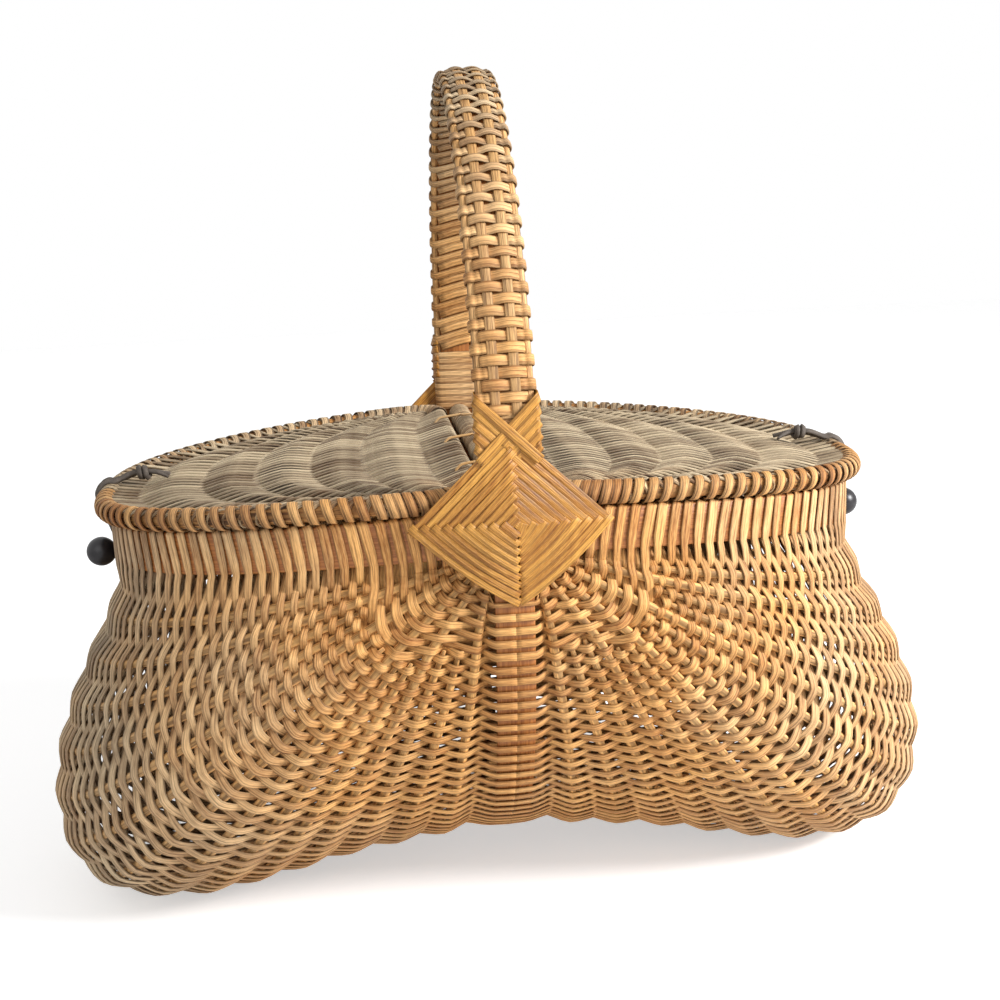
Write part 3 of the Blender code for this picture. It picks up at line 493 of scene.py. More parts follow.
def add_node(tree, kind, inputs=(), **settings):
    """A shader node with its settings, its values and its links."""
    node = tree.nodes.new(kind)
    for name, value in settings.items():
        setattr(node, name, value)
    for name, value in dict(inputs).items():
        socket = node.inputs[name]
        if isinstance(value, bpy.types.NodeSocket):
            tree.links.new(value, socket)
        else:
            socket.default_value = value
    return node


def new_material(name):
    """An empty material and its Principled shader."""
    made = bpy.data.materials.new(name)
    made.use_nodes = True
    return made, made.node_tree, made.node_tree.nodes["Principled BSDF"]


def opaque(colour):
    """A colour with full alpha."""
    return (*colour, 1.0)


def places(tree, source, *scale):
    """Object places, or places along a reed, stretched by a scale."""
    if source == "reed":
        place = add_node(tree, "ShaderNodeUVMap", uv_map="reed").outputs["UV"]
    else:
        place = add_node(tree, "ShaderNodeTexCoord").outputs["Object"]
    if not scale:
        return place
    return add_node(tree, "ShaderNodeMapping", {"Vector": place, "Scale": scale}).outputs["Vector"]


def noise(tree, place, scale, detail, rough=0.5, twist=0.0, **settings):
    """Noise at a place."""
    return add_node(tree, "ShaderNodeTexNoise", {"Vector": place, "Scale": scale, "Detail": detail,
                    "Roughness": rough, "Distortion": twist}, **settings).outputs["Fac"]


def ranged(tree, value, low, high, to_low=0.0, to_high=1.0):
    """A value moved from one range to another."""
    return add_node(tree, "ShaderNodeMapRange", {"Value": value, "From Min": low, "From Max": high,
                    "To Min": to_low, "To Max": to_high}).outputs[0]


def reckoned(tree, operation, *values, **settings):
    """The result of a sum or product of values."""
    return add_node(tree, "ShaderNodeMath", enumerate(values), operation=operation,
                    **settings).outputs[0]


def blended(tree, share, low, high):
    """The colour at a share from one colour to another."""
    return add_node(tree, "ShaderNodeMix", {"Factor": share, 6: low, 7: high},
                    data_type="RGBA").outputs[2]


def shaded(tree, colour, share):
    """A colour times a share."""
    return add_node(tree, "ShaderNodeVectorMath", {0: colour, "Scale": share},
                    operation="SCALE").outputs["Vector"]


def dress(tree, shader, colour, roughness, height, strength, distance):
    """Give a shader its colour, its roughness and the bump of its grain."""
    bump = add_node(tree, "ShaderNodeBump", {"Height": height, "Strength": strength,
                    "Distance": distance})
    tree.links.new(colour, shader.inputs["Base Color"])
    tree.links.new(bump.outputs["Normal"], shader.inputs["Normal"])
    shader.inputs["Roughness"].default_value = roughness


def reed_material(name, finish, light, dark, roughness=0.62, grey=0.0, spread=1.0, pores=0.6):
    """Peeled rattan reed, split flat: a dry satin face with fine lines of pores along it, and
    painted shade darkening its two edges.
    """
    made, tree, shader = new_material(name)
    look = add_node(tree, "ShaderNodeAttribute", attribute_name="look").outputs["Vector"]
    parts = add_node(tree, "ShaderNodeSeparateXYZ", {"Vector": look})
    tint, age, edge = (parts.outputs[axis] for axis in "XYZ")
    # One unit of the map is 100 mm: pores lie about 0.9 mm apart across and run some 40 mm along
    lines = places(tree, "reed", 2.5, 115.0, 1.0)
    grain = noise(tree, lines, 1.0, 3.0, 0.65, 0.2, noise_dimensions="2D")
    # Flecks some 7 mm long and 1.7 mm wide
    flecks = places(tree, "reed", 14.0, 60.0, 1.0)
    mottle = noise(tree, flecks, 1.0, 4.0, 0.6, noise_dimensions="2D")
    # Stain of handling and sun in patches some 50 mm across
    patch = noise(tree, places(tree, "object"), 20.0, 3.0)
    depth = reckoned(tree, "ADD", reckoned(tree, "ADD", grain, tint), mottle)
    depth = ranged(tree, depth, 0.85, 0.85 + 1.25 * spread)
    golden = blended(tree, depth, opaque(dark), opaque(light))
    old = blended(tree, depth, opaque(finish.reed_old_dark), opaque(finish.reed_old))
    aged = reckoned(tree, "MULTIPLY_ADD", patch, 0.9, grey - 0.45)
    aged = reckoned(tree, "ADD", aged, age, use_clamp=True)
    # Painted shade: the two edges of each reed are darkened, standing in for the shade that falls
    # between neighbouring reeds
    rim = ranged(tree, edge, 0.62, 1.0, 1.0, 0.5)
    groove = ranged(tree, grain, 0.36, 0.50, pores, 1.0)
    colour = shaded(tree, blended(tree, aged, golden, old), reckoned(tree, "MULTIPLY", rim, groove))
    dress(tree, shader, colour, roughness, grain, 0.9, 0.0006)
    shader.inputs["Specular IOR Level"].default_value = 0.35
    return made


def wood_material(finish):
    """Steamed and bent oak, oiled: brown with darker grain along the hoop."""
    made, tree, shader = new_material("oiled oak hoop")
    # Grain lines about 1.2 mm apart, 60 mm long
    lines = places(tree, "reed", 1.6, 80.0, 1.0)
    grain = noise(tree, lines, 1.0, 5.0, 0.7, 0.4, noise_dimensions="2D")
    share = ranged(tree, grain, 0.3, 0.7)
    colour = blended(tree, share, opaque(finish.wood_dark), opaque(finish.wood_light))
    dress(tree, shader, colour, 0.5, grain, 0.4, 0.0004)
    return made


def ball_material(finish):
    """Turned hardwood, stained black and waxed: a soft gleam with faint turning rings."""
    made, tree, shader = new_material("black stained ball")
    # Turning rings about 0.8 mm apart along the stem's axis
    rings = noise(tree, places(tree, "object", 1200.0, 60.0, 60.0), 1.0, 3.0)
    colour = shaded(tree, finish.ball, ranged(tree, rings, 0.0, 1.0, 0.75, 1.7))
    tree.links.new(colour, shader.inputs["Base Color"])
    tree.links.new(ranged(tree, rings, 0.0, 1.0, 0.28, 0.45), shader.inputs["Roughness"])
    return made


def lace_material(finish):
    """Vegetable tanned leather lace, greyed by weather: matt, with cracks of the grain side."""
    made, tree, shader = new_material("weathered leather lace")
    where = places(tree, "object")
    # Leather grain about 0.7 mm across
    cells = add_node(tree, "ShaderNodeTexVoronoi", {"Vector": where, "Scale": 1400.0})
    share = ranged(tree, noise(tree, where, 300.0, 4.0), 0.3, 0.7, 0.6, 1.25)
    colour = shaded(tree, finish.lace, share)
    dress(tree, shader, colour, 0.75, cells.outputs["Distance"], 0.5, 0.0003)
    return made


FINISHES = {}


def finish_of(name):
    """The finish of that name, made when it is first asked for."""
    colours = bpy.context.scene.basket_finish
    light, dark = colours.reed_light, colours.reed_dark
    makers = {
        "wall": lambda: reed_material("golden reed", colours, light, dark),
        "lid": lambda: reed_material("weathered lid reed", colours, light, dark, 0.7, 0.5,
                                     pores=0.3),
        "ear": lambda: reed_material("wide ear splint", colours, colours.ear_light,
                                     colours.ear_dark, 0.42, -0.6, 0.9),
        "wood": lambda: wood_material(colours),
        "ball": lambda: ball_material(colours),
        "lace": lambda: lace_material(colours),
    }
    if name not in FINISHES:
        FINISHES[name] = makers[name]()
    return FINISHES[name]


# Weaving of the walls


def age_and_left_shade(points):
    """How weathered the reed is: golden by the ears, grey towards the two ends. The left end is
    weighted greyer than the right, partly as weathering and partly as painted shade for the side
    that the key lamp from the right leaves duller.
    """
    x = np.abs(np.asarray(points)[..., 0])
    left = np.asarray(points)[..., 0] < 0
    # Painted shade in part: the left end gets more grey than the right, which the key lamp lights
    # more
    return np.clip((x - 0.06) / 0.16, 0.0, 1.0) * np.where(left, 0.75, 0.45)


def wave(turns):
    """Height of a weaver over its ribs: 1 over a rib, -1 under the next."""
    return np.arcsin(0.92 * np.cos(math.pi * turns)) / math.asin(0.92)


def beside(line, goals):
    """The places on a line that lie nearest to goals, seen from the side."""
    fine = even(line, np.linspace(0.0, 1.0, 900))
    away = np.linalg.norm(fine[None, :, 1:] - goals[:, None, 1:], axis=2)
    return fine[np.maximum.accumulate(away.argmin(axis=1))]


def quarter_grid(section, rows, draw):
    """Points of the wall's middle surface: one line of rows for each column."""
    shares = [(row + 0.5 + draw.uniform(-0.12, 0.12)) / rows for row in range(rows)]
    shares = np.clip(shares, 0.0, 1.0)
    last = len(section) - 1
    grid = np.stack([even(lobe_line(section, c), shares) for c in range(last + 1)])
    for column in (last - 1, last):
        # The rows cross the spine level, as they leave the last rib
        spine = even(grid[column], np.linspace(0.0, 1.0, rows))
        level = beside(lobe_line(section, column), grid[last - 2])
        blend = np.interp(np.arange(rows), (0, 3, rows - 4, rows - 1), (0.0, 1.0, 1.0, 0.0))
        grid[column] = spine + (level - spine) * blend[:, None]
    push = np.interp(np.arange(last + 1), (0, 2, last - 6, last - 2, last),
                     (0.0, WALL_PUSH, WALL_PUSH, SPINE_PUSH, 0.0))
    return grid + grid_normals(grid) * push[:, None, None]


def grid_normals(grid):
    """Outward directions on the wall's middle surface."""
    normals = unit(np.cross(np.gradient(grid, axis=0), np.gradient(grid, axis=1)))
    normals[0] = unit(normals[0] * np.array((1.0, 1.0, 0.0)))
    normals[-1] = unit(normals[-1] * np.array((0.0, 1.0, 1.0)))
    return normals


def rib_starts(grid):
    """The row from which each rib has room; every third rib starts in the ear."""
    starts = {0: 0, RIBS + 1: 0}
    for k in range(1, RIBS + 1):
        apart = [np.linalg.norm(grid[2 * k] - grid[2 * n], axis=1) for n in (k - 1, k + 1)]
        room = np.minimum(*apart) > RIB_DIAMETER + 0.0006
        starts[k] = 0 if k % 3 == 2 else int(np.argmax(room))
    for k in range(3, RIBS, 3):
        starts[k] = starts[k + 1] = max(starts[k], starts[k + 1])
    return starts


def row_height(column, row, starts, phase):
    """Height of a row over its ribs at each column: 1 over a rib, -1 under it."""
    ribs = np.array([k for k in sorted(starts) if row >= starts[k]])
    nodes, signs = 2 * ribs, 1 - 2 * ((ribs + row + phase) % 2)
    at = np.clip(np.searchsorted(nodes, column, side="right") - 1, 0, len(nodes) - 2)
    share = (column - nodes[at]) / (nodes[at + 1] - nodes[at])
    float_over = 1 - 0.35 * np.sin(math.pi * share)
    return signs[at] * np.where(signs[at] == signs[at + 1], float_over, wave(share))


def rim_part(grid, normals, row, over, sizes, lean):
    """A row's reed on the rim: from the middle of its top down the outer or the inner face."""
    reach = RIM_THICK / 2 + sizes.reed_thick / 2
    top = RIM_HEIGHT + sizes.reed_thick / 2
    rows = np.arange(grid.shape[1])
    steps = ((0.5, 1.0, 0.0, 1.0), (0.28, 1.0, 0.72, 0.99), (0.06, 0.95, 0.98, 0.93),
             (0.0, 0.62, 1.04, 0.62), (0.0, 0.2, 1.02, 0.25))
    points, facing = [], []
    for mate, leaning, out, height in steps:
        at = row + mate * over + lean * leaning * (1 - (row / len(rows)) ** 4)
        centre, away = place_at(at, rows, grid[0]), unit(place_at(at, rows, normals[0]))
        points.append(centre + away * out * reach * over + UP * top * height)
        facing.append(unit(away * out + UP * over * (1 - out)))
    return points, facing


def wall_row(grid, normals, gaps, row, starts, phase, sizes, width_share, lean):
    """One weaver from the spine's centre line, over and under the ribs, to the rim's top."""
    steps, columns = 3, len(grid)
    line = across(grid[:, row], steps)
    facing = unit(across(normals[:, row], steps))
    column = np.linspace(0, columns - 1, len(line))
    lift = np.interp(column, (0, 2, columns - 3, columns - 1),
                     (RIM_THICK / 2, RIB_DIAMETER / 2, RIB_DIAMETER / 2, HOOP_THICK / 2 + 0.0002))
    rise = row_height(column, row, starts, phase)
    gap = np.interp(column, np.arange(columns), gaps[:, row])
    width = np.minimum(gap * (1.17 + 0.07 * np.abs(rise)), sizes.reed_width) * width_share
    width = np.maximum(width, gap * 1.12)
    points = line + facing * ((lift + sizes.reed_thick / 2) * rise)[:, None]
    over = 1 if rise[0] > 0 else -1
    rim, rim_facing = rim_part(grid, normals, row, over, sizes, lean)
    # Behind the splints the reed runs on to the middle of the spine
    edge, out = points[-1], facing[-1]
    middle = [edge * np.array((s, 1.0, 1.0)) + out * 0.0004 * (1 - s) for s in (0.66, 0.33, 0.0)]
    points = np.concatenate([rim, points, middle])[::-1]
    facing = np.concatenate([rim_facing, facing, [out] * 3])[::-1]
    on_rim = sizes.rim_reed_width * width_share
    width = np.concatenate([[on_rim] * len(rim), width, [width[-1]] * 3])[::-1]
    return points, facing, width


def build_walls(sizes):
    """The four woven quarters with their turns over the rim, and the ribs."""
    draw = random.Random(sizes.seed)
    section = lobe_section()
    grids = []
    for end_name, end in ENDS:
        grid = quarter_grid(section, sizes.rows, draw)
        normals = grid_normals(grid)
        along, course = np.gradient(grid, axis=1), unit(np.gradient(grid, axis=0))
        gaps = along - course * (along * course).sum(axis=2, keepdims=True)
        gaps = np.linalg.norm(gaps, axis=2)
        starts, phase = rib_starts(grid), 0 if end < 0 else 1
        grids.append(grid)
        # The back is packed a little closer
        packed = 0.0 if end < 0 else 0.10
        rows = [(draw.uniform(0.25, 0.8), draw.uniform(0.94, 1.06) + packed,
                 draw.uniform(0.7, 1.2)) for _ in range(sizes.rows)]
        for label, side in SIDES:
            reeds = []
            for row, (tint, width_share, lean) in enumerate(rows):
                points, facing, width = wall_row(grid, normals, gaps, row, starts, phase, sizes,
                                                 width_share, lean)
                points, facing = turned(points, side, end), turned(facing, side, end)
                reeds.append(reed(points, facing, width, sizes.reed_thick, tint, age_and_left_shade(points),
                                  flip=side * end > 0))
            piece(f"woven_{end_name}_{label}", reeds, "wall", "woven_reed",
                  f"weaving_{end_name}_{label}", "rim_binding")
    build_ribs(grids, starts, draw)


def build_ribs(grids, starts, draw):
    """Round reed ribs from ear to ear, pointed where they are pushed in."""
    front, back = grids
    for label, side in SIDES:
        for k in range(1, RIBS + 1):
            far_half = back[2 * k, starts[k]:][::-1] * (1.0, -1.0, 1.0)
            line = np.concatenate([front[2 * k, starts[k]:], far_half]) * (side, 1.0, 1.0)
            share = np.linspace(0.0, 1.0, len(line))
            width = RIB_DIAMETER * np.interp(np.minimum(share, 1 - share), (0.0, 0.03, 0.07),
                                             (0.4, 0.8, 1.0))
            made = reed(line, level_frames(line), width, width, draw.uniform(0.7, 1.0),
                        age_and_left_shade(line) * 0.4, section=ROUND_REED)
            piece(f"reed_rib_{label}_{k:02d}", [made], "wall", "rib_reed", f"rib_{label}_{k:02d}")


# Hoops


def build_hoops():
    """The two bent oak hoops, smooth along their whole length."""
    angles = np.linspace(0.0, 2 * math.pi, HOOP_POINTS, endpoint=False)
    line, out = hoop_line(angles)
    made = reed(line, out, HOOP_WIDTH, HOOP_THICK, section=PLANED, closed=True)
    piece("oak_handle_hoop", [made], "wood", "hoop_wood", "handle_hoop")
    line = rim_points(angles, RIM_THICK / 2) - UP * RIM_HEIGHT / 2
    out = unit((rim_points(angles, -0.001) - rim_points(angles, 0.001)) * np.array((1.0, 1.0, 0.0)))
    made = reed(line, out, RIM_HEIGHT, RIM_THICK, section=PLANED, closed=True)
    piece("oak_rim_hoop", [made], "wood", "hoop_wood", "rim_hoop")


# Ears


def ear_depth(x, z):
    """Depth of the inner face of an ear, from the basket's middle."""
    shoulder = HOOP_WIDTH / 2
    away = max(0.0, abs(x) - shoulder) / (EAR_HALF_WIDTH - shoulder)
    return hoop_outer_depth(z) - EAR_SWEEP * away


def ear_strip(start, end, bulge, low, high, width, end_sign, tint):
    """A splint of an ear between two places (x, z), lifted from low to high along it."""
    start, end = np.array(start), np.array(end)
    across_way = unit((end[1] - start[1], start[0] - end[0]))
    points = []
    for s in np.linspace(0.0, 1.0, 14):
        x, z = start + (end - start) * s + across_way * bulge * 4 * s * (1 - s)
        points.append((x, -(ear_depth(x, EAR_MIDDLE + z) + low + (high - low) * s), EAR_MIDDLE + z))
    points = np.array(points) * np.array((-end_sign, -end_sign, 1.0))
    facing = np.tile((0.0, float(end_sign), 0.0), (len(points), 1))
    return reed(points, facing, width, EAR_SPLINT_THICK, tint, section=SPLINT)


def build_ears(sizes):
    """The diamonds: rounds of splint laid corner to corner, and the last crossing on the handle."""
    draw = random.Random(sizes.seed + 1)
    rounds, past = sizes.ear_rounds, EAR_PAST
    pitch = EAR_HALF_WIDTH * 0.69 / rounds
    for name, end in ENDS:
        strips = []
        for k in range(rounds):
            share = 1.0 - (k + 0.42) / rounds
            lift = EAR_LIFT + EAR_CROWN * k / (rounds - 1)
            wide, high, low = EAR_HALF_WIDTH * share, EAR_UP * share, EAR_DOWN * share
            # Start, stop, bulge, lift at both ends and width of the four sides of a round
            sides = (
                ((wide + past, -past * 0.8), (-past, high + past), 0.0, 0.0, 0.0003, 1.00),
                ((past, -low - past), (wide + past, past * 0.8), 0.0022 * share, 0.0, 0.0002, 1.00),
                ((-wide - past, -past), (past, high + past), 0.0, 0.0004, 0.0008, 1.10),
                ((-wide - past, past), (past, -low - past), 0.0024 * share, 0.0009, 0.0010, 1.06),
            )
            for start, stop, bulge, lower, higher, fill in sides:
                strips.append(ear_strip(start, stop, bulge, lift + lower, lift + higher,
                                        pitch * fill * 1.12, end, draw.uniform(0.25, 0.8)))
        strips += ear_lashings(end, draw)
        piece(f"lashed_ear_{name}", strips, "ear", "woven_reed", f"ear_{name}")


def ear_lashings(end, draw):
    """The last reeds of an ear, crossed above it and wrapped round the handle."""
    strips = []
    edge, slope = LASHING_EDGE, EAR_UP / EAR_HALF_WIDTH
    for side in (-1, 1):
        for k in range(LASHINGS):
            top = LASHING_TOP - LASHING_PITCH * k
            reach = edge * 2 if k == 0 else edge * 1.25 - 0.0015 * k
            lift = 0.0030 - 0.0003 * k + (0.0006 if side < 0 and k == 0 else 0.0)
            width = 0.0052 * draw.uniform(0.85, 1.0)
            points = []
            for x in np.linspace(edge, edge - reach, 10):
                z = EAR_HEIGHT + top - slope * (edge - x)
                points.append((x * side, -(hoop_outer_depth(z) + lift), z))
            height = EAR_HEIGHT + top
            rim = hoop_outer_depth(height)
            over = [((edge - 0.0025) * side, -(rim - 0.0064), height + 0.002),
                    ((edge + 0.0004) * side, -(rim - 0.0030), height + 0.0015),
                    ((edge + 0.0006) * side, -(rim + 0.0012), height + 0.001)]
            faces = [(0.3 * side, 1.0, 0.0), (side, 0.0, 0.0), (side, -0.6, 0.0)]
            faces += [(0.0, -1.0, 0.0)] * len(points)
            turn = np.array((-end, -end, 1.0))
            points, faces = np.array(over + points) * turn, unit(faces) * turn
            strips.append(reed(across(points, 2), unit(across(faces, 2)), width, EAR_SPLINT_THICK,
                               draw.uniform(0.3, 0.8), section=SPLINT))
    return strips


# Handle


def build_handle(sizes):
    """Warps along the handle and one reed woven round it, two turns to each repeat."""
    draw = random.Random(sizes.seed + 2)
    line, out = handle_line(HANDLE_START)
    edge_line, edge_out = handle_line(HANDLE_FOOT)
    for label, side in SIDES:
        edge = edge_line + np.array((side * EDGE_REED_PLACE, 0.0, 0.0))
        made = reed(edge, edge_out, *EDGE_REED_SIZE, draw.uniform(0.5, 0.9), 0.25,
                    section=ROUND_REED)
        piece(f"edge_reed_{label}", [made], "wall", "rib_reed", f"handle_edge_reed_{label}")
        splint = line + out * (HOOP_THICK / 2 + 0.0011) + np.array((side * SPLINT_PLACE, 0.0, 0.0))
        made = reed(splint, out, *SPLINT_SIZE, draw.uniform(0.5, 0.9), 0.2, section=SPLINT)
        piece(f"flat_splint_{label}", [made], "wall", "woven_reed", f"handle_splint_{label}")
    turns = handle_turns(sizes, line, out, draw) + foot_turns(sizes, edge_line, edge_out, draw)
    piece("handle_winding", turns, "wall", "woven_reed", "handle_weave")


def handle_turns(sizes, line, out, draw):
    """Turns of the woven reed, as sideways and outward places round the hoop."""
    half = HOOP_THICK / 2
    over, under = half + 0.0024, half + 0.0008
    inner = -half - 0.0008
    first = ((-0.0106, -0.001), (-0.0108, half), (-0.0094, under), (-0.0070, over - 0.0004),
             (-0.0052, over), (-0.0034, over), (-0.0012, over - 0.0006), (0.0012, under),
             (0.0052, under - 0.0004), (0.0088, under + 0.0002), (0.0110, half),
             (0.0132, half + 0.0006), (0.0150, 0.0012), (0.0152, -0.0006), (0.0138, -0.0024),
             (0.0105, inner), (0.0, inner - 0.0002), (-0.0105, inner), (-0.0138, -0.0024))
    second = ((-0.0152, -0.0006), (-0.0150, 0.0012), (-0.0132, half + 0.0006), (-0.0110, half),
              (-0.0088, under + 0.0002), (-0.0052, under - 0.0004), (-0.0012, under),
              (0.0012, over - 0.0006), (0.0034, over), (0.0052, over), (0.0070, over - 0.0004),
              (0.0094, under), (0.0108, half), (0.0106, -0.001), (0.0100, inner),
              (0.0, inner - 0.0002), (-0.0100, inner))
    path = np.array(first + second)
    steps = np.linalg.norm(np.diff(path, axis=0, append=path[:1]), axis=1)
    round_run = np.concatenate([[0.0], np.cumsum(steps)[:-1]]) / steps.sum()
    # The front turns lie level, and the step to the next is made behind the handle
    rise_at = np.interp(round_run, (0.0, 0.33, 0.5, 0.85, 1.0), (0.0, 0.0, 1.0, 1.0, 2.0))
    run = run_of(line)
    reeds = []
    for k in range(int(run[-1] / (2 * sizes.handle_pitch))):
        points, facing = [], []
        for (x, rise), along in zip(path, (k * 2 + rise_at + 0.4) * sizes.handle_pitch):
            centre, away = place_at(along, run, line), unit(place_at(along, run, out))
            points.append(centre + away * rise + np.array((x, 0.0, 0.0)))
            outward = 1 if rise > half * 0.4 else -1 if rise < -half * 0.9 else 0.05
            sideways = np.array((math.copysign(0.9, x), 0.0, 0.0)) * (abs(x) > 0.0125)
            facing.append(away * outward + sideways)
        age = 0.15 + 0.7 * np.clip((np.array(points)[:, 2] - 0.36) / 0.1, 0.0, 1.0)
        points, facing, age = across(points, 2), unit(across(facing, 2)), np.repeat(age, 2)[:-1]
        reeds.append(reed(points, facing, sizes.handle_reed_width * draw.uniform(0.94, 1.04),
                          sizes.reed_thick, draw.uniform(0.3, 0.85), age))
    return reeds


def foot_turns(sizes, line, out, draw):
    """Close plain turns at the two feet of the handle, from the ear up to the weaving."""
    half = HOOP_THICK / 2 + 0.0007
    path = ((-0.0105, half), (0.0105, half), (0.0138, 0.0022), (0.0150, 0.0), (0.0138, -0.0024),
            (0.0105, -half), (0.0, -half - 0.0002), (-0.0105, -half), (-0.0138, -0.0024),
            (-0.0150, 0.0), (-0.0138, 0.0022))
    run = run_of(line)
    reeds = []
    for k in range(FOOT_TURNS):
        reach = FOOT_START + FOOT_PITCH * k
        for at in (reach, run[-1] - reach):
            centre, away = place_at(at, run, line), unit(place_at(at, run, out))
            points = np.array([centre + away * rise + np.array((x, 0.0, 0.0)) for x, rise in path])
            facing = unit([away * np.sign(rise) * (abs(x) < 0.0148)
                           + np.array((np.sign(x), 0.0, 0.0)) * (abs(x) > 0.013)
                           for x, rise in path])
            reeds.append(reed(points, facing, 0.0052 * draw.uniform(0.92, 1.04), sizes.reed_thick,
                              draw.uniform(0.3, 0.9), 0.3, closed=True))
    return reeds


# Lids


def lid_level(points):
    """Lid points set at their height, dipping to the ends."""
    points = np.array(points, float)
    points[:, 2] = LID_HEIGHT - sag(points[:, 0]) + sag(SPAR_OFFSET)
    return points


def lid_rod_line():
    """Centre line of a lid's bent rod on the right side, from corner to corner."""
    first = math.asin(((SPAR_OFFSET + LID_CORNER) / ROD_LENGTH) ** (RIM_LENGTH_POWER / 2))
    t = np.linspace(first, math.pi - first, 90)
    arc = np.stack([ROD_LENGTH * np.sin(t) ** (2 / RIM_LENGTH_POWER),
                    -ROD_DEPTH * power(np.cos(t), 2 / RIM_DEPTH_POWER), 0 * t], axis=1)
    seat = np.array((SPAR_OFFSET, -(ROD_DEPTH - LID_CORNER_DROP), 0.0))
    tip = seat - (0.0, ROD_DIAMETER / 4, 0.0)
    bend = np.array((SPAR_OFFSET, arc[0, 1] - FIT, 0.0))
    u = np.linspace(0.0, 1.0, 12, endpoint=False)[:, None]
    corner = tip * (1 - u) ** 2 + bend * 2 * u * (1 - u) + arc[0] * u ** 2
    corner = np.concatenate([seat[None], corner])
    back = corner[::-1] * np.array((1.0, -1.0, 1.0))
    return lid_level(np.concatenate([corner, arc, back]))


def lid_panel(rod, rows):
    """Near and far ends of a lid's rows, at the panel's two edges and at the rod's centre."""
    inward = np.stack([-np.gradient(rod[:, 1]), np.gradient(rod[:, 0]), 0 * rod[:, 0]], axis=1)
    outer = rod + unit(inward) * (ROD_DIAMETER / 2 + FIT)
    keep = outer[:, 0] > PANEL_START + FIT
    outer, centre = outer[keep], rod[keep]
    first, last = int(outer[:, 1].argmin()), int(outer[:, 1].argmax())
    corner_share = outer[0, 1] / outer[first, 1]
    shares = (np.arange(rows) + 0.5) / rows
    far, centre = even(outer[first:last + 1], shares), even(centre[first:last + 1], shares)
    near = np.stack([np.full(rows, PANEL_START), far[:, 1] * corner_share,
                     np.full(rows, LID_HEIGHT)], axis=1)
    return near, far, centre


def lid_columns(near, far, centre):
    """Points of a lid's middle surface: the spar, the ribs and the rod, for every row."""
    columns = [np.stack([np.full(len(near), SPAR_OFFSET), near[:, 1], near[:, 2]], axis=1)]
    columns += [near + (far - near) * k / (LID_RIBS + 1) for k in range(1, LID_RIBS + 1)]
    columns.append(centre)
    return np.stack([lid_level(c) for c in columns])


def lid_row(columns, row, sizes, width_share):
    """One weaver of a lid, from round the spar to round the rod."""
    thick = sizes.lid_reed_thick
    rows = columns.shape[1]
    line = across(columns[:, row], 6)
    column = np.linspace(0, len(columns) - 1, len(line))
    top = len(columns) - 1
    lift = np.interp(column, (0, 1, top - 1, top),
                     (SPAR_DIAMETER / 2 - thick, LID_RIB_DIAMETER / 2, LID_RIB_DIAMETER / 2,
                      ROD_DIAMETER / 2 - 1.6 * thick)) + thick / 2
    rise = wave(column + row)
    points = line + UP * (lift * rise)[:, None]
    facing = np.tile(UP, (len(line), 1))
    lower, upper = max(row - 1, 0), min(row + 1, rows - 1)
    gap = np.linalg.norm(columns[:, upper] - columns[:, lower], axis=1) / (upper - lower)
    width = np.interp(column, np.arange(top + 1), gap) * 1.2
    width = np.minimum(width, sizes.lid_reed_width) * width_share
    loops = []
    for end, inner in ((0, line[1]), (-1, line[-2])):
        centre, up, radius = line[end], UP * (1 if rise[end] > 0 else -1), abs(lift[end])
        out = unit((centre - inner) * np.array((1.0, 1.0, 0.0)))
        mate = row + (1 if (row % 2 == 0) == (end == -1) else -1)
        mate = min(max(mate, 0), rows - 1)
        shift = (columns[end, mate] - centre) / 2
        angles = np.linspace(0.0, math.pi / 2, 5)[1:, None]
        around = np.cos(angles) * up + np.sin(angles) * out
        turn = centre + radius * around + shift * (angles / (math.pi / 2))
        loops.append((turn, around * (1 if rise[end] > 0 else -1)))
    points = np.concatenate([loops[0][0][::-1], points, loops[1][0]])
    facing = np.concatenate([loops[0][1][::-1], facing, loops[1][1]])
    width = np.concatenate([[width[0]] * 4, width, [width[-1]] * 4])
    return points, facing, width


def rod_turns(rod, draw, side):
    """Turns of reed round the bent rod: close at its two corners, wider apart along it."""
    run = run_of(rod)
    half = run[-1] / 2
    close = np.arange(0.004, CORNER_REACH, CORNER_PITCH)
    apart = half - np.arange(0.5, (half - CORNER_REACH) / ROD_PITCH) * ROD_PITCH
    radius = ROD_DIAMETER / 2 - 0.0002
    turn = np.linspace(0.0, 2 * math.pi, 20, endpoint=False)[:, None]
    mirror = np.array((side, 1.0, 1.0))
    width, thick = ROD_REED
    reeds = []
    for reach in (*close, *apart):
        for at in (reach, run[-1] - reach):
            at += draw.uniform(-0.0006, 0.0006)
            centre = place_at(at, run, rod)
            axis = unit(place_at(at + 0.001, run, rod) - centre)
            around = np.cos(turn) * UP + np.sin(turn) * unit(np.cross(axis, UP))
            slant = axis * 0.0022 * np.cos(turn + 0.6)
            # The turns on the front of the rod are kept golden, and those at its back grey
            aged = -0.35 if centre[1] < -0.02 else 0.35
            reeds.append(reed((centre + around * radius + slant) * mirror, around * mirror,
                              width * draw.uniform(0.92, 1.05), thick, draw.uniform(0.1, 0.8), aged,
                              closed=True))
    return reeds


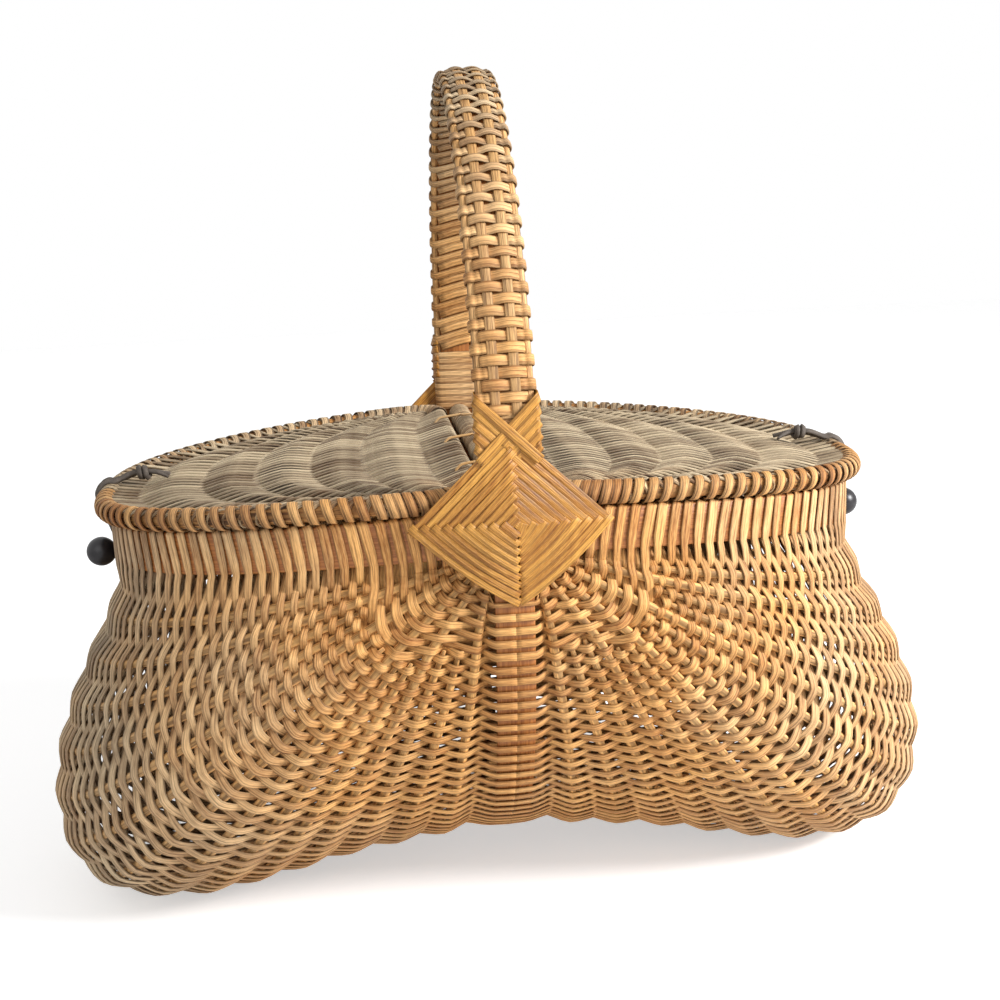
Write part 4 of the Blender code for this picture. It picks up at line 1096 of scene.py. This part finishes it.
def build_lids(sizes):
    """Both lids: bent rods and ribs, woven reeds from the spar to the rod, and the spars."""
    draw = random.Random(sizes.seed + 3)
    rod = lid_rod_line()
    near, far, centre = lid_panel(rod, sizes.lid_rows)
    columns = lid_columns(near, far, centre)
    for label, side in SIDES:
        body = f"lid_{label}"
        turn = np.array((side, 1.0, 1.0))
        reeds = []
        for row in range(sizes.lid_rows):
            points, facing, width = lid_row(columns, row, sizes, draw.uniform(0.9, 1.06))
            # Greyest where it turns down to the rod, golden on the rod and by its front
            on_rod = np.interp(np.linspace(0, 1, len(points)), (0.86, 1.0), (0.30, -0.10))
            near_front = np.where(points[:, 1] < -0.10, -0.25, 0.0)
            reeds.append(reed(points * turn, facing * turn, width, sizes.lid_reed_thick,
                              draw.uniform(0.0, 1.0), 0.35 + on_rod + near_front))
        reeds += rod_turns(rod, draw, side)
        piece(f"woven_lid_{label}", reeds, "lid", "lid_reed", f"lid_{label}_weaving", body=body)
        core = ROD_DIAMETER - 2 * sizes.lid_reed_thick - 0.0002
        parts = [reed(rod * turn, level_frames(rod), core, core, 0.25, -0.45, section=ROUND_REED)]
        for k in range(1, LID_RIBS + 1):
            line = columns[k]
            tips = [line[0] - (0.0, 0.006, 0.0), line[-1] + (0.0, 0.006, 0.0)]
            line = np.concatenate([tips[:1], line, tips[1:]]) * turn
            parts.append(reed(line, level_frames(line), LID_RIB_DIAMETER, LID_RIB_DIAMETER, 0.6,
                              0.2, section=ROUND_REED))
        piece(f"bent_rod_{label}", parts, "lid", "lid_reed", f"lid_{label}_frame", body=body)
        reach = -rod[0, 1] - FIT
        line = np.stack([np.full(30, side * SPAR_OFFSET), np.linspace(-reach, reach, 30),
                         np.full(30, LID_HEIGHT)], axis=1)
        core = SPAR_DIAMETER - 2 * sizes.lid_reed_thick - 0.0002
        made = reed(line, level_frames(line), core, core, 0.3, 0.1, section=ROUND_REED)
        piece(f"spar_{label}", [made], "lid", "lid_reed", f"lid_{label}_spar", body=body)


# Bar and ties


def build_bar(sizes):
    """The bar under the handle, bound closely with one reed."""
    draw = random.Random(sizes.seed + 4)
    low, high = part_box("center_bar_winding")
    reach = (high.y - low.y) / 2
    width, thick = BAR_REED
    radius = BAR_OUTER - thick / 2 - FIT
    turns = int(2 * reach / BAR_PITCH)
    angles = np.linspace(0.0, 2 * math.pi, 17)
    reeds = []
    for k in range(turns):
        y = -reach + 2 * reach * (k + angles / (2 * math.pi)) / turns
        wobble = radius * draw.uniform(0.97, 1.0)
        facing = np.stack([np.cos(angles), 0 * y, np.sin(angles)], axis=1)
        points = facing * wobble + np.stack([0 * y, y, 0 * y + BAR_HEIGHT], axis=1)
        reeds.append(reed(points, facing, width * draw.uniform(0.9, 1.04), thick,
                          draw.uniform(0.1, 1.0), 0.3))
    piece("bar_binding", reeds, "lid", "woven_reed", "center_bar_winding")
    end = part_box("center_bar")[1].y
    core = 2 * (radius - thick / 2) - 0.0002
    line = np.stack([np.zeros(20), np.linspace(-end, end, 20), np.full(20, BAR_HEIGHT)], axis=1)
    made = reed(line, level_frames(line), core, core, 0.2, 0.2, section=ROUND_REED)
    piece("bar_core", [made], "lid", "rib_reed", "center_bar")


def build_ties():
    """Flat reeds tied round the bar and both spars."""
    thick = TIE_REED[1]
    radius = SPAR_DIAMETER / 2 + thick
    over, under = BAR_HEIGHT + BAR_OUTER + thick, BAR_HEIGHT - BAR_OUTER - thick
    turn = np.linspace(math.pi / 2, -math.pi / 2, 7)
    right = [(SPAR_OFFSET + radius * math.cos(a), LID_HEIGHT + radius * math.sin(a)) for a in turn]
    left = [(-x, z) for x, z in reversed(right)]
    rest = BAR_OUTER / 2
    path = [(-rest, over), (rest, over), *right, (rest, under), (-rest, under), *left,
            (-rest, over)]
    for k, y in enumerate(TIE_PLACES, 1):
        line = [(x, y + 0.0029 * n / (len(path) - 1), z) for n, (x, z) in enumerate(path)]
        line = smooth(line, 90)
        facing = unit(line - np.array((0.0, y, BAR_HEIGHT)) * (0, 1, 1) - line * (1, 0, 0) * 0.4)
        made = reed(line, facing, *TIE_REED, 0.95, 0.2)
        piece(f"reed_tie_{k}", [made], "wall", "woven_reed", f"hinge_tie_{k}")


# Balls and laces


def build_balls():
    """Turned balls with their stems, one at each end of the rim."""
    radius = BALL_DIAMETER / 2
    neck = math.asin(BALL_STEM / 2 / radius)
    angles = np.linspace(0.02, math.pi - neck, 22)
    stem = np.array((0.55, 0.8, 1.0)) * BALL_STEM_LENGTH
    size = 2 * np.concatenate([radius * np.sin(angles), [BALL_STEM / 2] * len(stem)])
    for label, side in SIDES:
        low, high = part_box(f"ball_{label}")
        centre, tip = (low + high) / 2, max(abs(low.x), abs(high.x))
        x = np.concatenate([radius * np.cos(angles), -radius * math.cos(neck) - stem])
        x = x + tip - radius
        line = np.stack([x * side, 0 * x + centre.y, 0 * x + centre.z], axis=1)
        made = reed(line, np.tile(UP, (len(line), 1)), size, size, section=round_section(28))
        piece(f"turned_ball_{label}", [made], "ball", "dark_ball", f"ball_{label}")


def lace_route():
    """The right lid's lace: tail, knot, both runs round the ball's stem, and the other tail."""
    rod_z = LID_HEIGHT - sag(ROD_LENGTH) + sag(SPAR_OFFSET)
    clear = (ROD_DIAMETER + LACE_DIAMETER) / 2 + FIT
    ball_z = LID_HEIGHT - BALL_DROP
    behind = RIM_HALF_LENGTH + 0.0012 + LACE_DIAMETER / 2 + 2 * FIT
    under = (BALL_STEM + LACE_DIAMETER) / 2 + 2 * FIT
    knot_x = ROD_LENGTH - KNOT_INSET
    floor = LID_HEIGHT - sag(knot_x) + sag(SPAR_OFFSET) + LID_RIB_DIAMETER / 2 + 0.0028
    radius = LACE_DIAMETER + 2 * FIT
    axis_z, low = floor + radius + LACE_DIAMETER / 2, floor + LACE_DIAMETER / 2 + FIT
    start, stop = knot_x - KNOT_HALF, knot_x + KNOT_HALF
    coil = []
    for k in range(2 * KNOT_POINTS + 1):
        a = 2 * math.pi * k / KNOT_POINTS
        coil.append((stop - KNOT_HALF * k / KNOT_POINTS, radius * math.cos(a),
                     axis_z + radius * math.sin(a)))
    spread, drop = LACE_SPREAD, rod_z - ball_z
    down = [(ROD_LENGTH + clear * math.cos(a), spread * (1.1 - a / math.pi) / 1.1,
             rod_z + clear * math.sin(a)) for a in (math.radians(d) for d in (110, 80, 50, 20, -5))]
    down += [(ROD_LENGTH + clear * 0.75, spread, rod_z - drop * 0.22),
             (behind + LACE_DIAMETER, spread, ball_z + drop * 0.55),
             (behind, spread, ball_z + drop * 0.3), (behind, spread, ball_z + under * 0.3),
             (behind, spread * 0.75, ball_z - under * 0.7)]
    up = [(x, -y, z) for x, y, z in reversed(down)]
    tail = (start - LACE_TAIL, 2 * radius, low)
    core = [(stop + LACE_DIAMETER, 0.0, axis_z), (start - LACE_DIAMETER, 0.0, axis_z),
            (start - LACE_TAIL, -radius, low)]
    return [tail, *reversed(coil), *down, (behind, 0.0, ball_z - under - FIT), *up, *core]


def build_laces():
    """Leather laces from the knots on the lids to the balls."""
    for label, side in SIDES:
        line = smooth(lace_route(), 260) * np.array((side, 1.0, 1.0))
        share = np.linspace(0.0, 1.0, len(line))
        taper = np.interp(np.minimum(share, 1 - share), (0.0, 0.06), (0.45, 1.0))
        made = reed(line, level_frames(line), LACE_DIAMETER * 1.15 * taper, LACE_DIAMETER * 0.85,
                    section=SPLINT)
        piece(f"leather_lace_{label}", [made], "lace", "leather_lace", f"lid_{label}_lace",
              body=f"lid_{label}")


# Stage


def build_stage(finish):
    """White floor and world, soft lamps and the camera of the photograph."""
    bpy.ops.mesh.primitive_plane_add(size=FLOOR_SIZE, location=(0.0, 0.0, 0.0))
    floor = bpy.context.active_object
    floor.name = "studio_floor"
    made, tree, shader = new_material("studio paper")
    shader.inputs["Base Color"].default_value = opaque(finish.floor)
    shader.inputs["Roughness"].default_value = 0.9
    shader.inputs["Emission Color"].default_value = (1.0, 1.0, 1.0, 1.0)
    seen = add_node(tree, "ShaderNodeLightPath").outputs["Is Camera Ray"]
    tree.links.new(reckoned(tree, "MULTIPLY", seen, FLOOR_GLOW), shader.inputs["Emission Strength"])
    floor.data.materials.append(made)
    world = bpy.data.worlds.new("studio")
    bpy.context.scene.world = world
    world.use_nodes = True
    tree = world.node_tree
    paths = add_node(tree, "ShaderNodeLightPath").outputs
    seen = reckoned(tree, "MAXIMUM", paths["Is Camera Ray"], paths["Is Glossy Ray"])
    strength = add_node(tree, "ShaderNodeMix", {"Factor": seen, 2: WORLD_LIGHT, 3: 1.0})
    background = tree.nodes["Background"].inputs
    background["Color"].default_value = (1.0, 1.0, 1.0, 1.0)
    tree.links.new(strength.outputs[0], background["Strength"])
    for name, place, size, watts in LAMPS:
        lamp = bpy.data.lights.new(name, "AREA")
        lamp.shape, lamp.size, lamp.energy = "DISK", size, watts
        obj = bpy.data.objects.new(name, lamp)
        obj.location = place
        obj.rotation_mode = "QUATERNION"
        obj.rotation_quaternion = (Vector(LAMP_GOAL) - Vector(place)).to_track_quat("-Z", "Y")
        bpy.context.scene.collection.objects.link(obj)
    set_camera()


def set_camera():
    """The camera at the photograph's place, with its small roll."""
    forward = Vector(CAMERA_FORWARD).normalized()
    right = forward.cross(Vector((0.0, 0.0, 1.0))).normalized()
    up = right.cross(forward)
    turn, lean = math.cos(CAMERA_ROLL), math.sin(CAMERA_ROLL)
    axes = (right * turn + up * lean, up * turn - right * lean, -forward)
    lens = bpy.data.cameras.new("photo camera")
    lens.lens, lens.sensor_width = CAMERA_LENS, SENSOR
    lens.clip_start, lens.clip_end = 0.01, 50.0
    camera = bpy.data.objects.new("photo camera", lens)
    camera.matrix_world = Matrix.Translation(CAMERA_PLACE) @ Matrix(axes).transposed().to_4x4()
    bpy.context.scene.collection.objects.link(camera)
    bpy.context.scene.camera = camera
    bpy.context.scene.view_settings.view_transform = "Standard"


class BASKET_OT_stage(bpy.types.Operator):
    """White floor, lamps and camera"""

    bl_idname = "basket.stage"
    bl_label = "Stage"

    def execute(self, context):
        build_stage(context.scene.basket_finish)
        return {"FINISHED"}


class BASKET_OT_hoops(bpy.types.Operator):
    """Bent oak handle hoop and rim hoop"""

    bl_idname = "basket.hoops"
    bl_label = "Hoops"

    def execute(self, context):
        build_hoops()
        return {"FINISHED"}


class BASKET_OT_walls(bpy.types.Operator):
    """Ribs, woven quarters and rim turns"""

    bl_idname = "basket.walls"
    bl_label = "Walls"

    def execute(self, context):
        build_walls(context.scene.basket_weave)
        return {"FINISHED"}


class BASKET_OT_ears(bpy.types.Operator):
    """Lashed diamonds at the crossings of the hoops"""

    bl_idname = "basket.ears"
    bl_label = "Ears"

    def execute(self, context):
        build_ears(context.scene.basket_weave)
        return {"FINISHED"}


class BASKET_OT_handle(bpy.types.Operator):
    """Warps and weaving of the handle"""

    bl_idname = "basket.handle"
    bl_label = "Handle"

    def execute(self, context):
        build_handle(context.scene.basket_weave)
        return {"FINISHED"}


class BASKET_OT_lids(bpy.types.Operator):
    """Woven half lids with their rods and spars"""

    bl_idname = "basket.lids"
    bl_label = "Lids"

    def execute(self, context):
        build_lids(context.scene.basket_weave)
        return {"FINISHED"}


class BASKET_OT_bar(bpy.types.Operator):
    """Bound bar under the handle"""

    bl_idname = "basket.bar"
    bl_label = "Bar"

    def execute(self, context):
        build_bar(context.scene.basket_weave)
        return {"FINISHED"}


class BASKET_OT_ties(bpy.types.Operator):
    """Reed ties that are the hinges"""

    bl_idname = "basket.ties"
    bl_label = "Ties"

    def execute(self, context):
        build_ties()
        return {"FINISHED"}


class BASKET_OT_balls(bpy.types.Operator):
    """Turned balls at the ends of the rim"""

    bl_idname = "basket.balls"
    bl_label = "Balls"

    def execute(self, context):
        build_balls()
        return {"FINISHED"}


class BASKET_OT_laces(bpy.types.Operator):
    """Leather laces over the balls"""

    bl_idname = "basket.laces"
    bl_label = "Laces"

    def execute(self, context):
        build_laces()
        return {"FINISHED"}


STEPS = (BASKET_OT_stage, BASKET_OT_hoops, BASKET_OT_walls, BASKET_OT_ears, BASKET_OT_handle,
           BASKET_OT_lids, BASKET_OT_bar, BASKET_OT_ties, BASKET_OT_balls, BASKET_OT_laces)


class BASKET_PT_panel(bpy.types.Panel):
    """Lists the steps of the basket in the sidebar."""

    bl_label = "Buttocks Basket"
    bl_space_type = "VIEW_3D"
    bl_region_type = "UI"
    bl_category = "Basket"

    def draw(self, context):
        for operator in STEPS:
            self.layout.operator(operator.bl_idname)


CLASSES = (BasketWeave, BasketFinish, *STEPS, BASKET_PT_panel)


def register():
    """Add the classes and the two groups of properties."""
    for cls in CLASSES:
        bpy.utils.register_class(cls)
    bpy.types.Scene.basket_weave = bpy.props.PointerProperty(type=BasketWeave)
    bpy.types.Scene.basket_finish = bpy.props.PointerProperty(type=BasketFinish)


def unregister():
    """Take them out again."""
    del bpy.types.Scene.basket_weave
    del bpy.types.Scene.basket_finish
    for cls in reversed(CLASSES):
        bpy.utils.unregister_class(cls)


def main():
    """Build the whole basket."""
    register()
    bpy.ops.basket.stage()
    bpy.ops.basket.hoops()
    bpy.ops.basket.walls()
    bpy.ops.basket.ears()
    bpy.ops.basket.handle()
    bpy.ops.basket.lids()
    bpy.ops.basket.bar()
    bpy.ops.basket.ties()
    bpy.ops.basket.balls()
    bpy.ops.basket.laces()


if __name__ == "__main__":
    main()
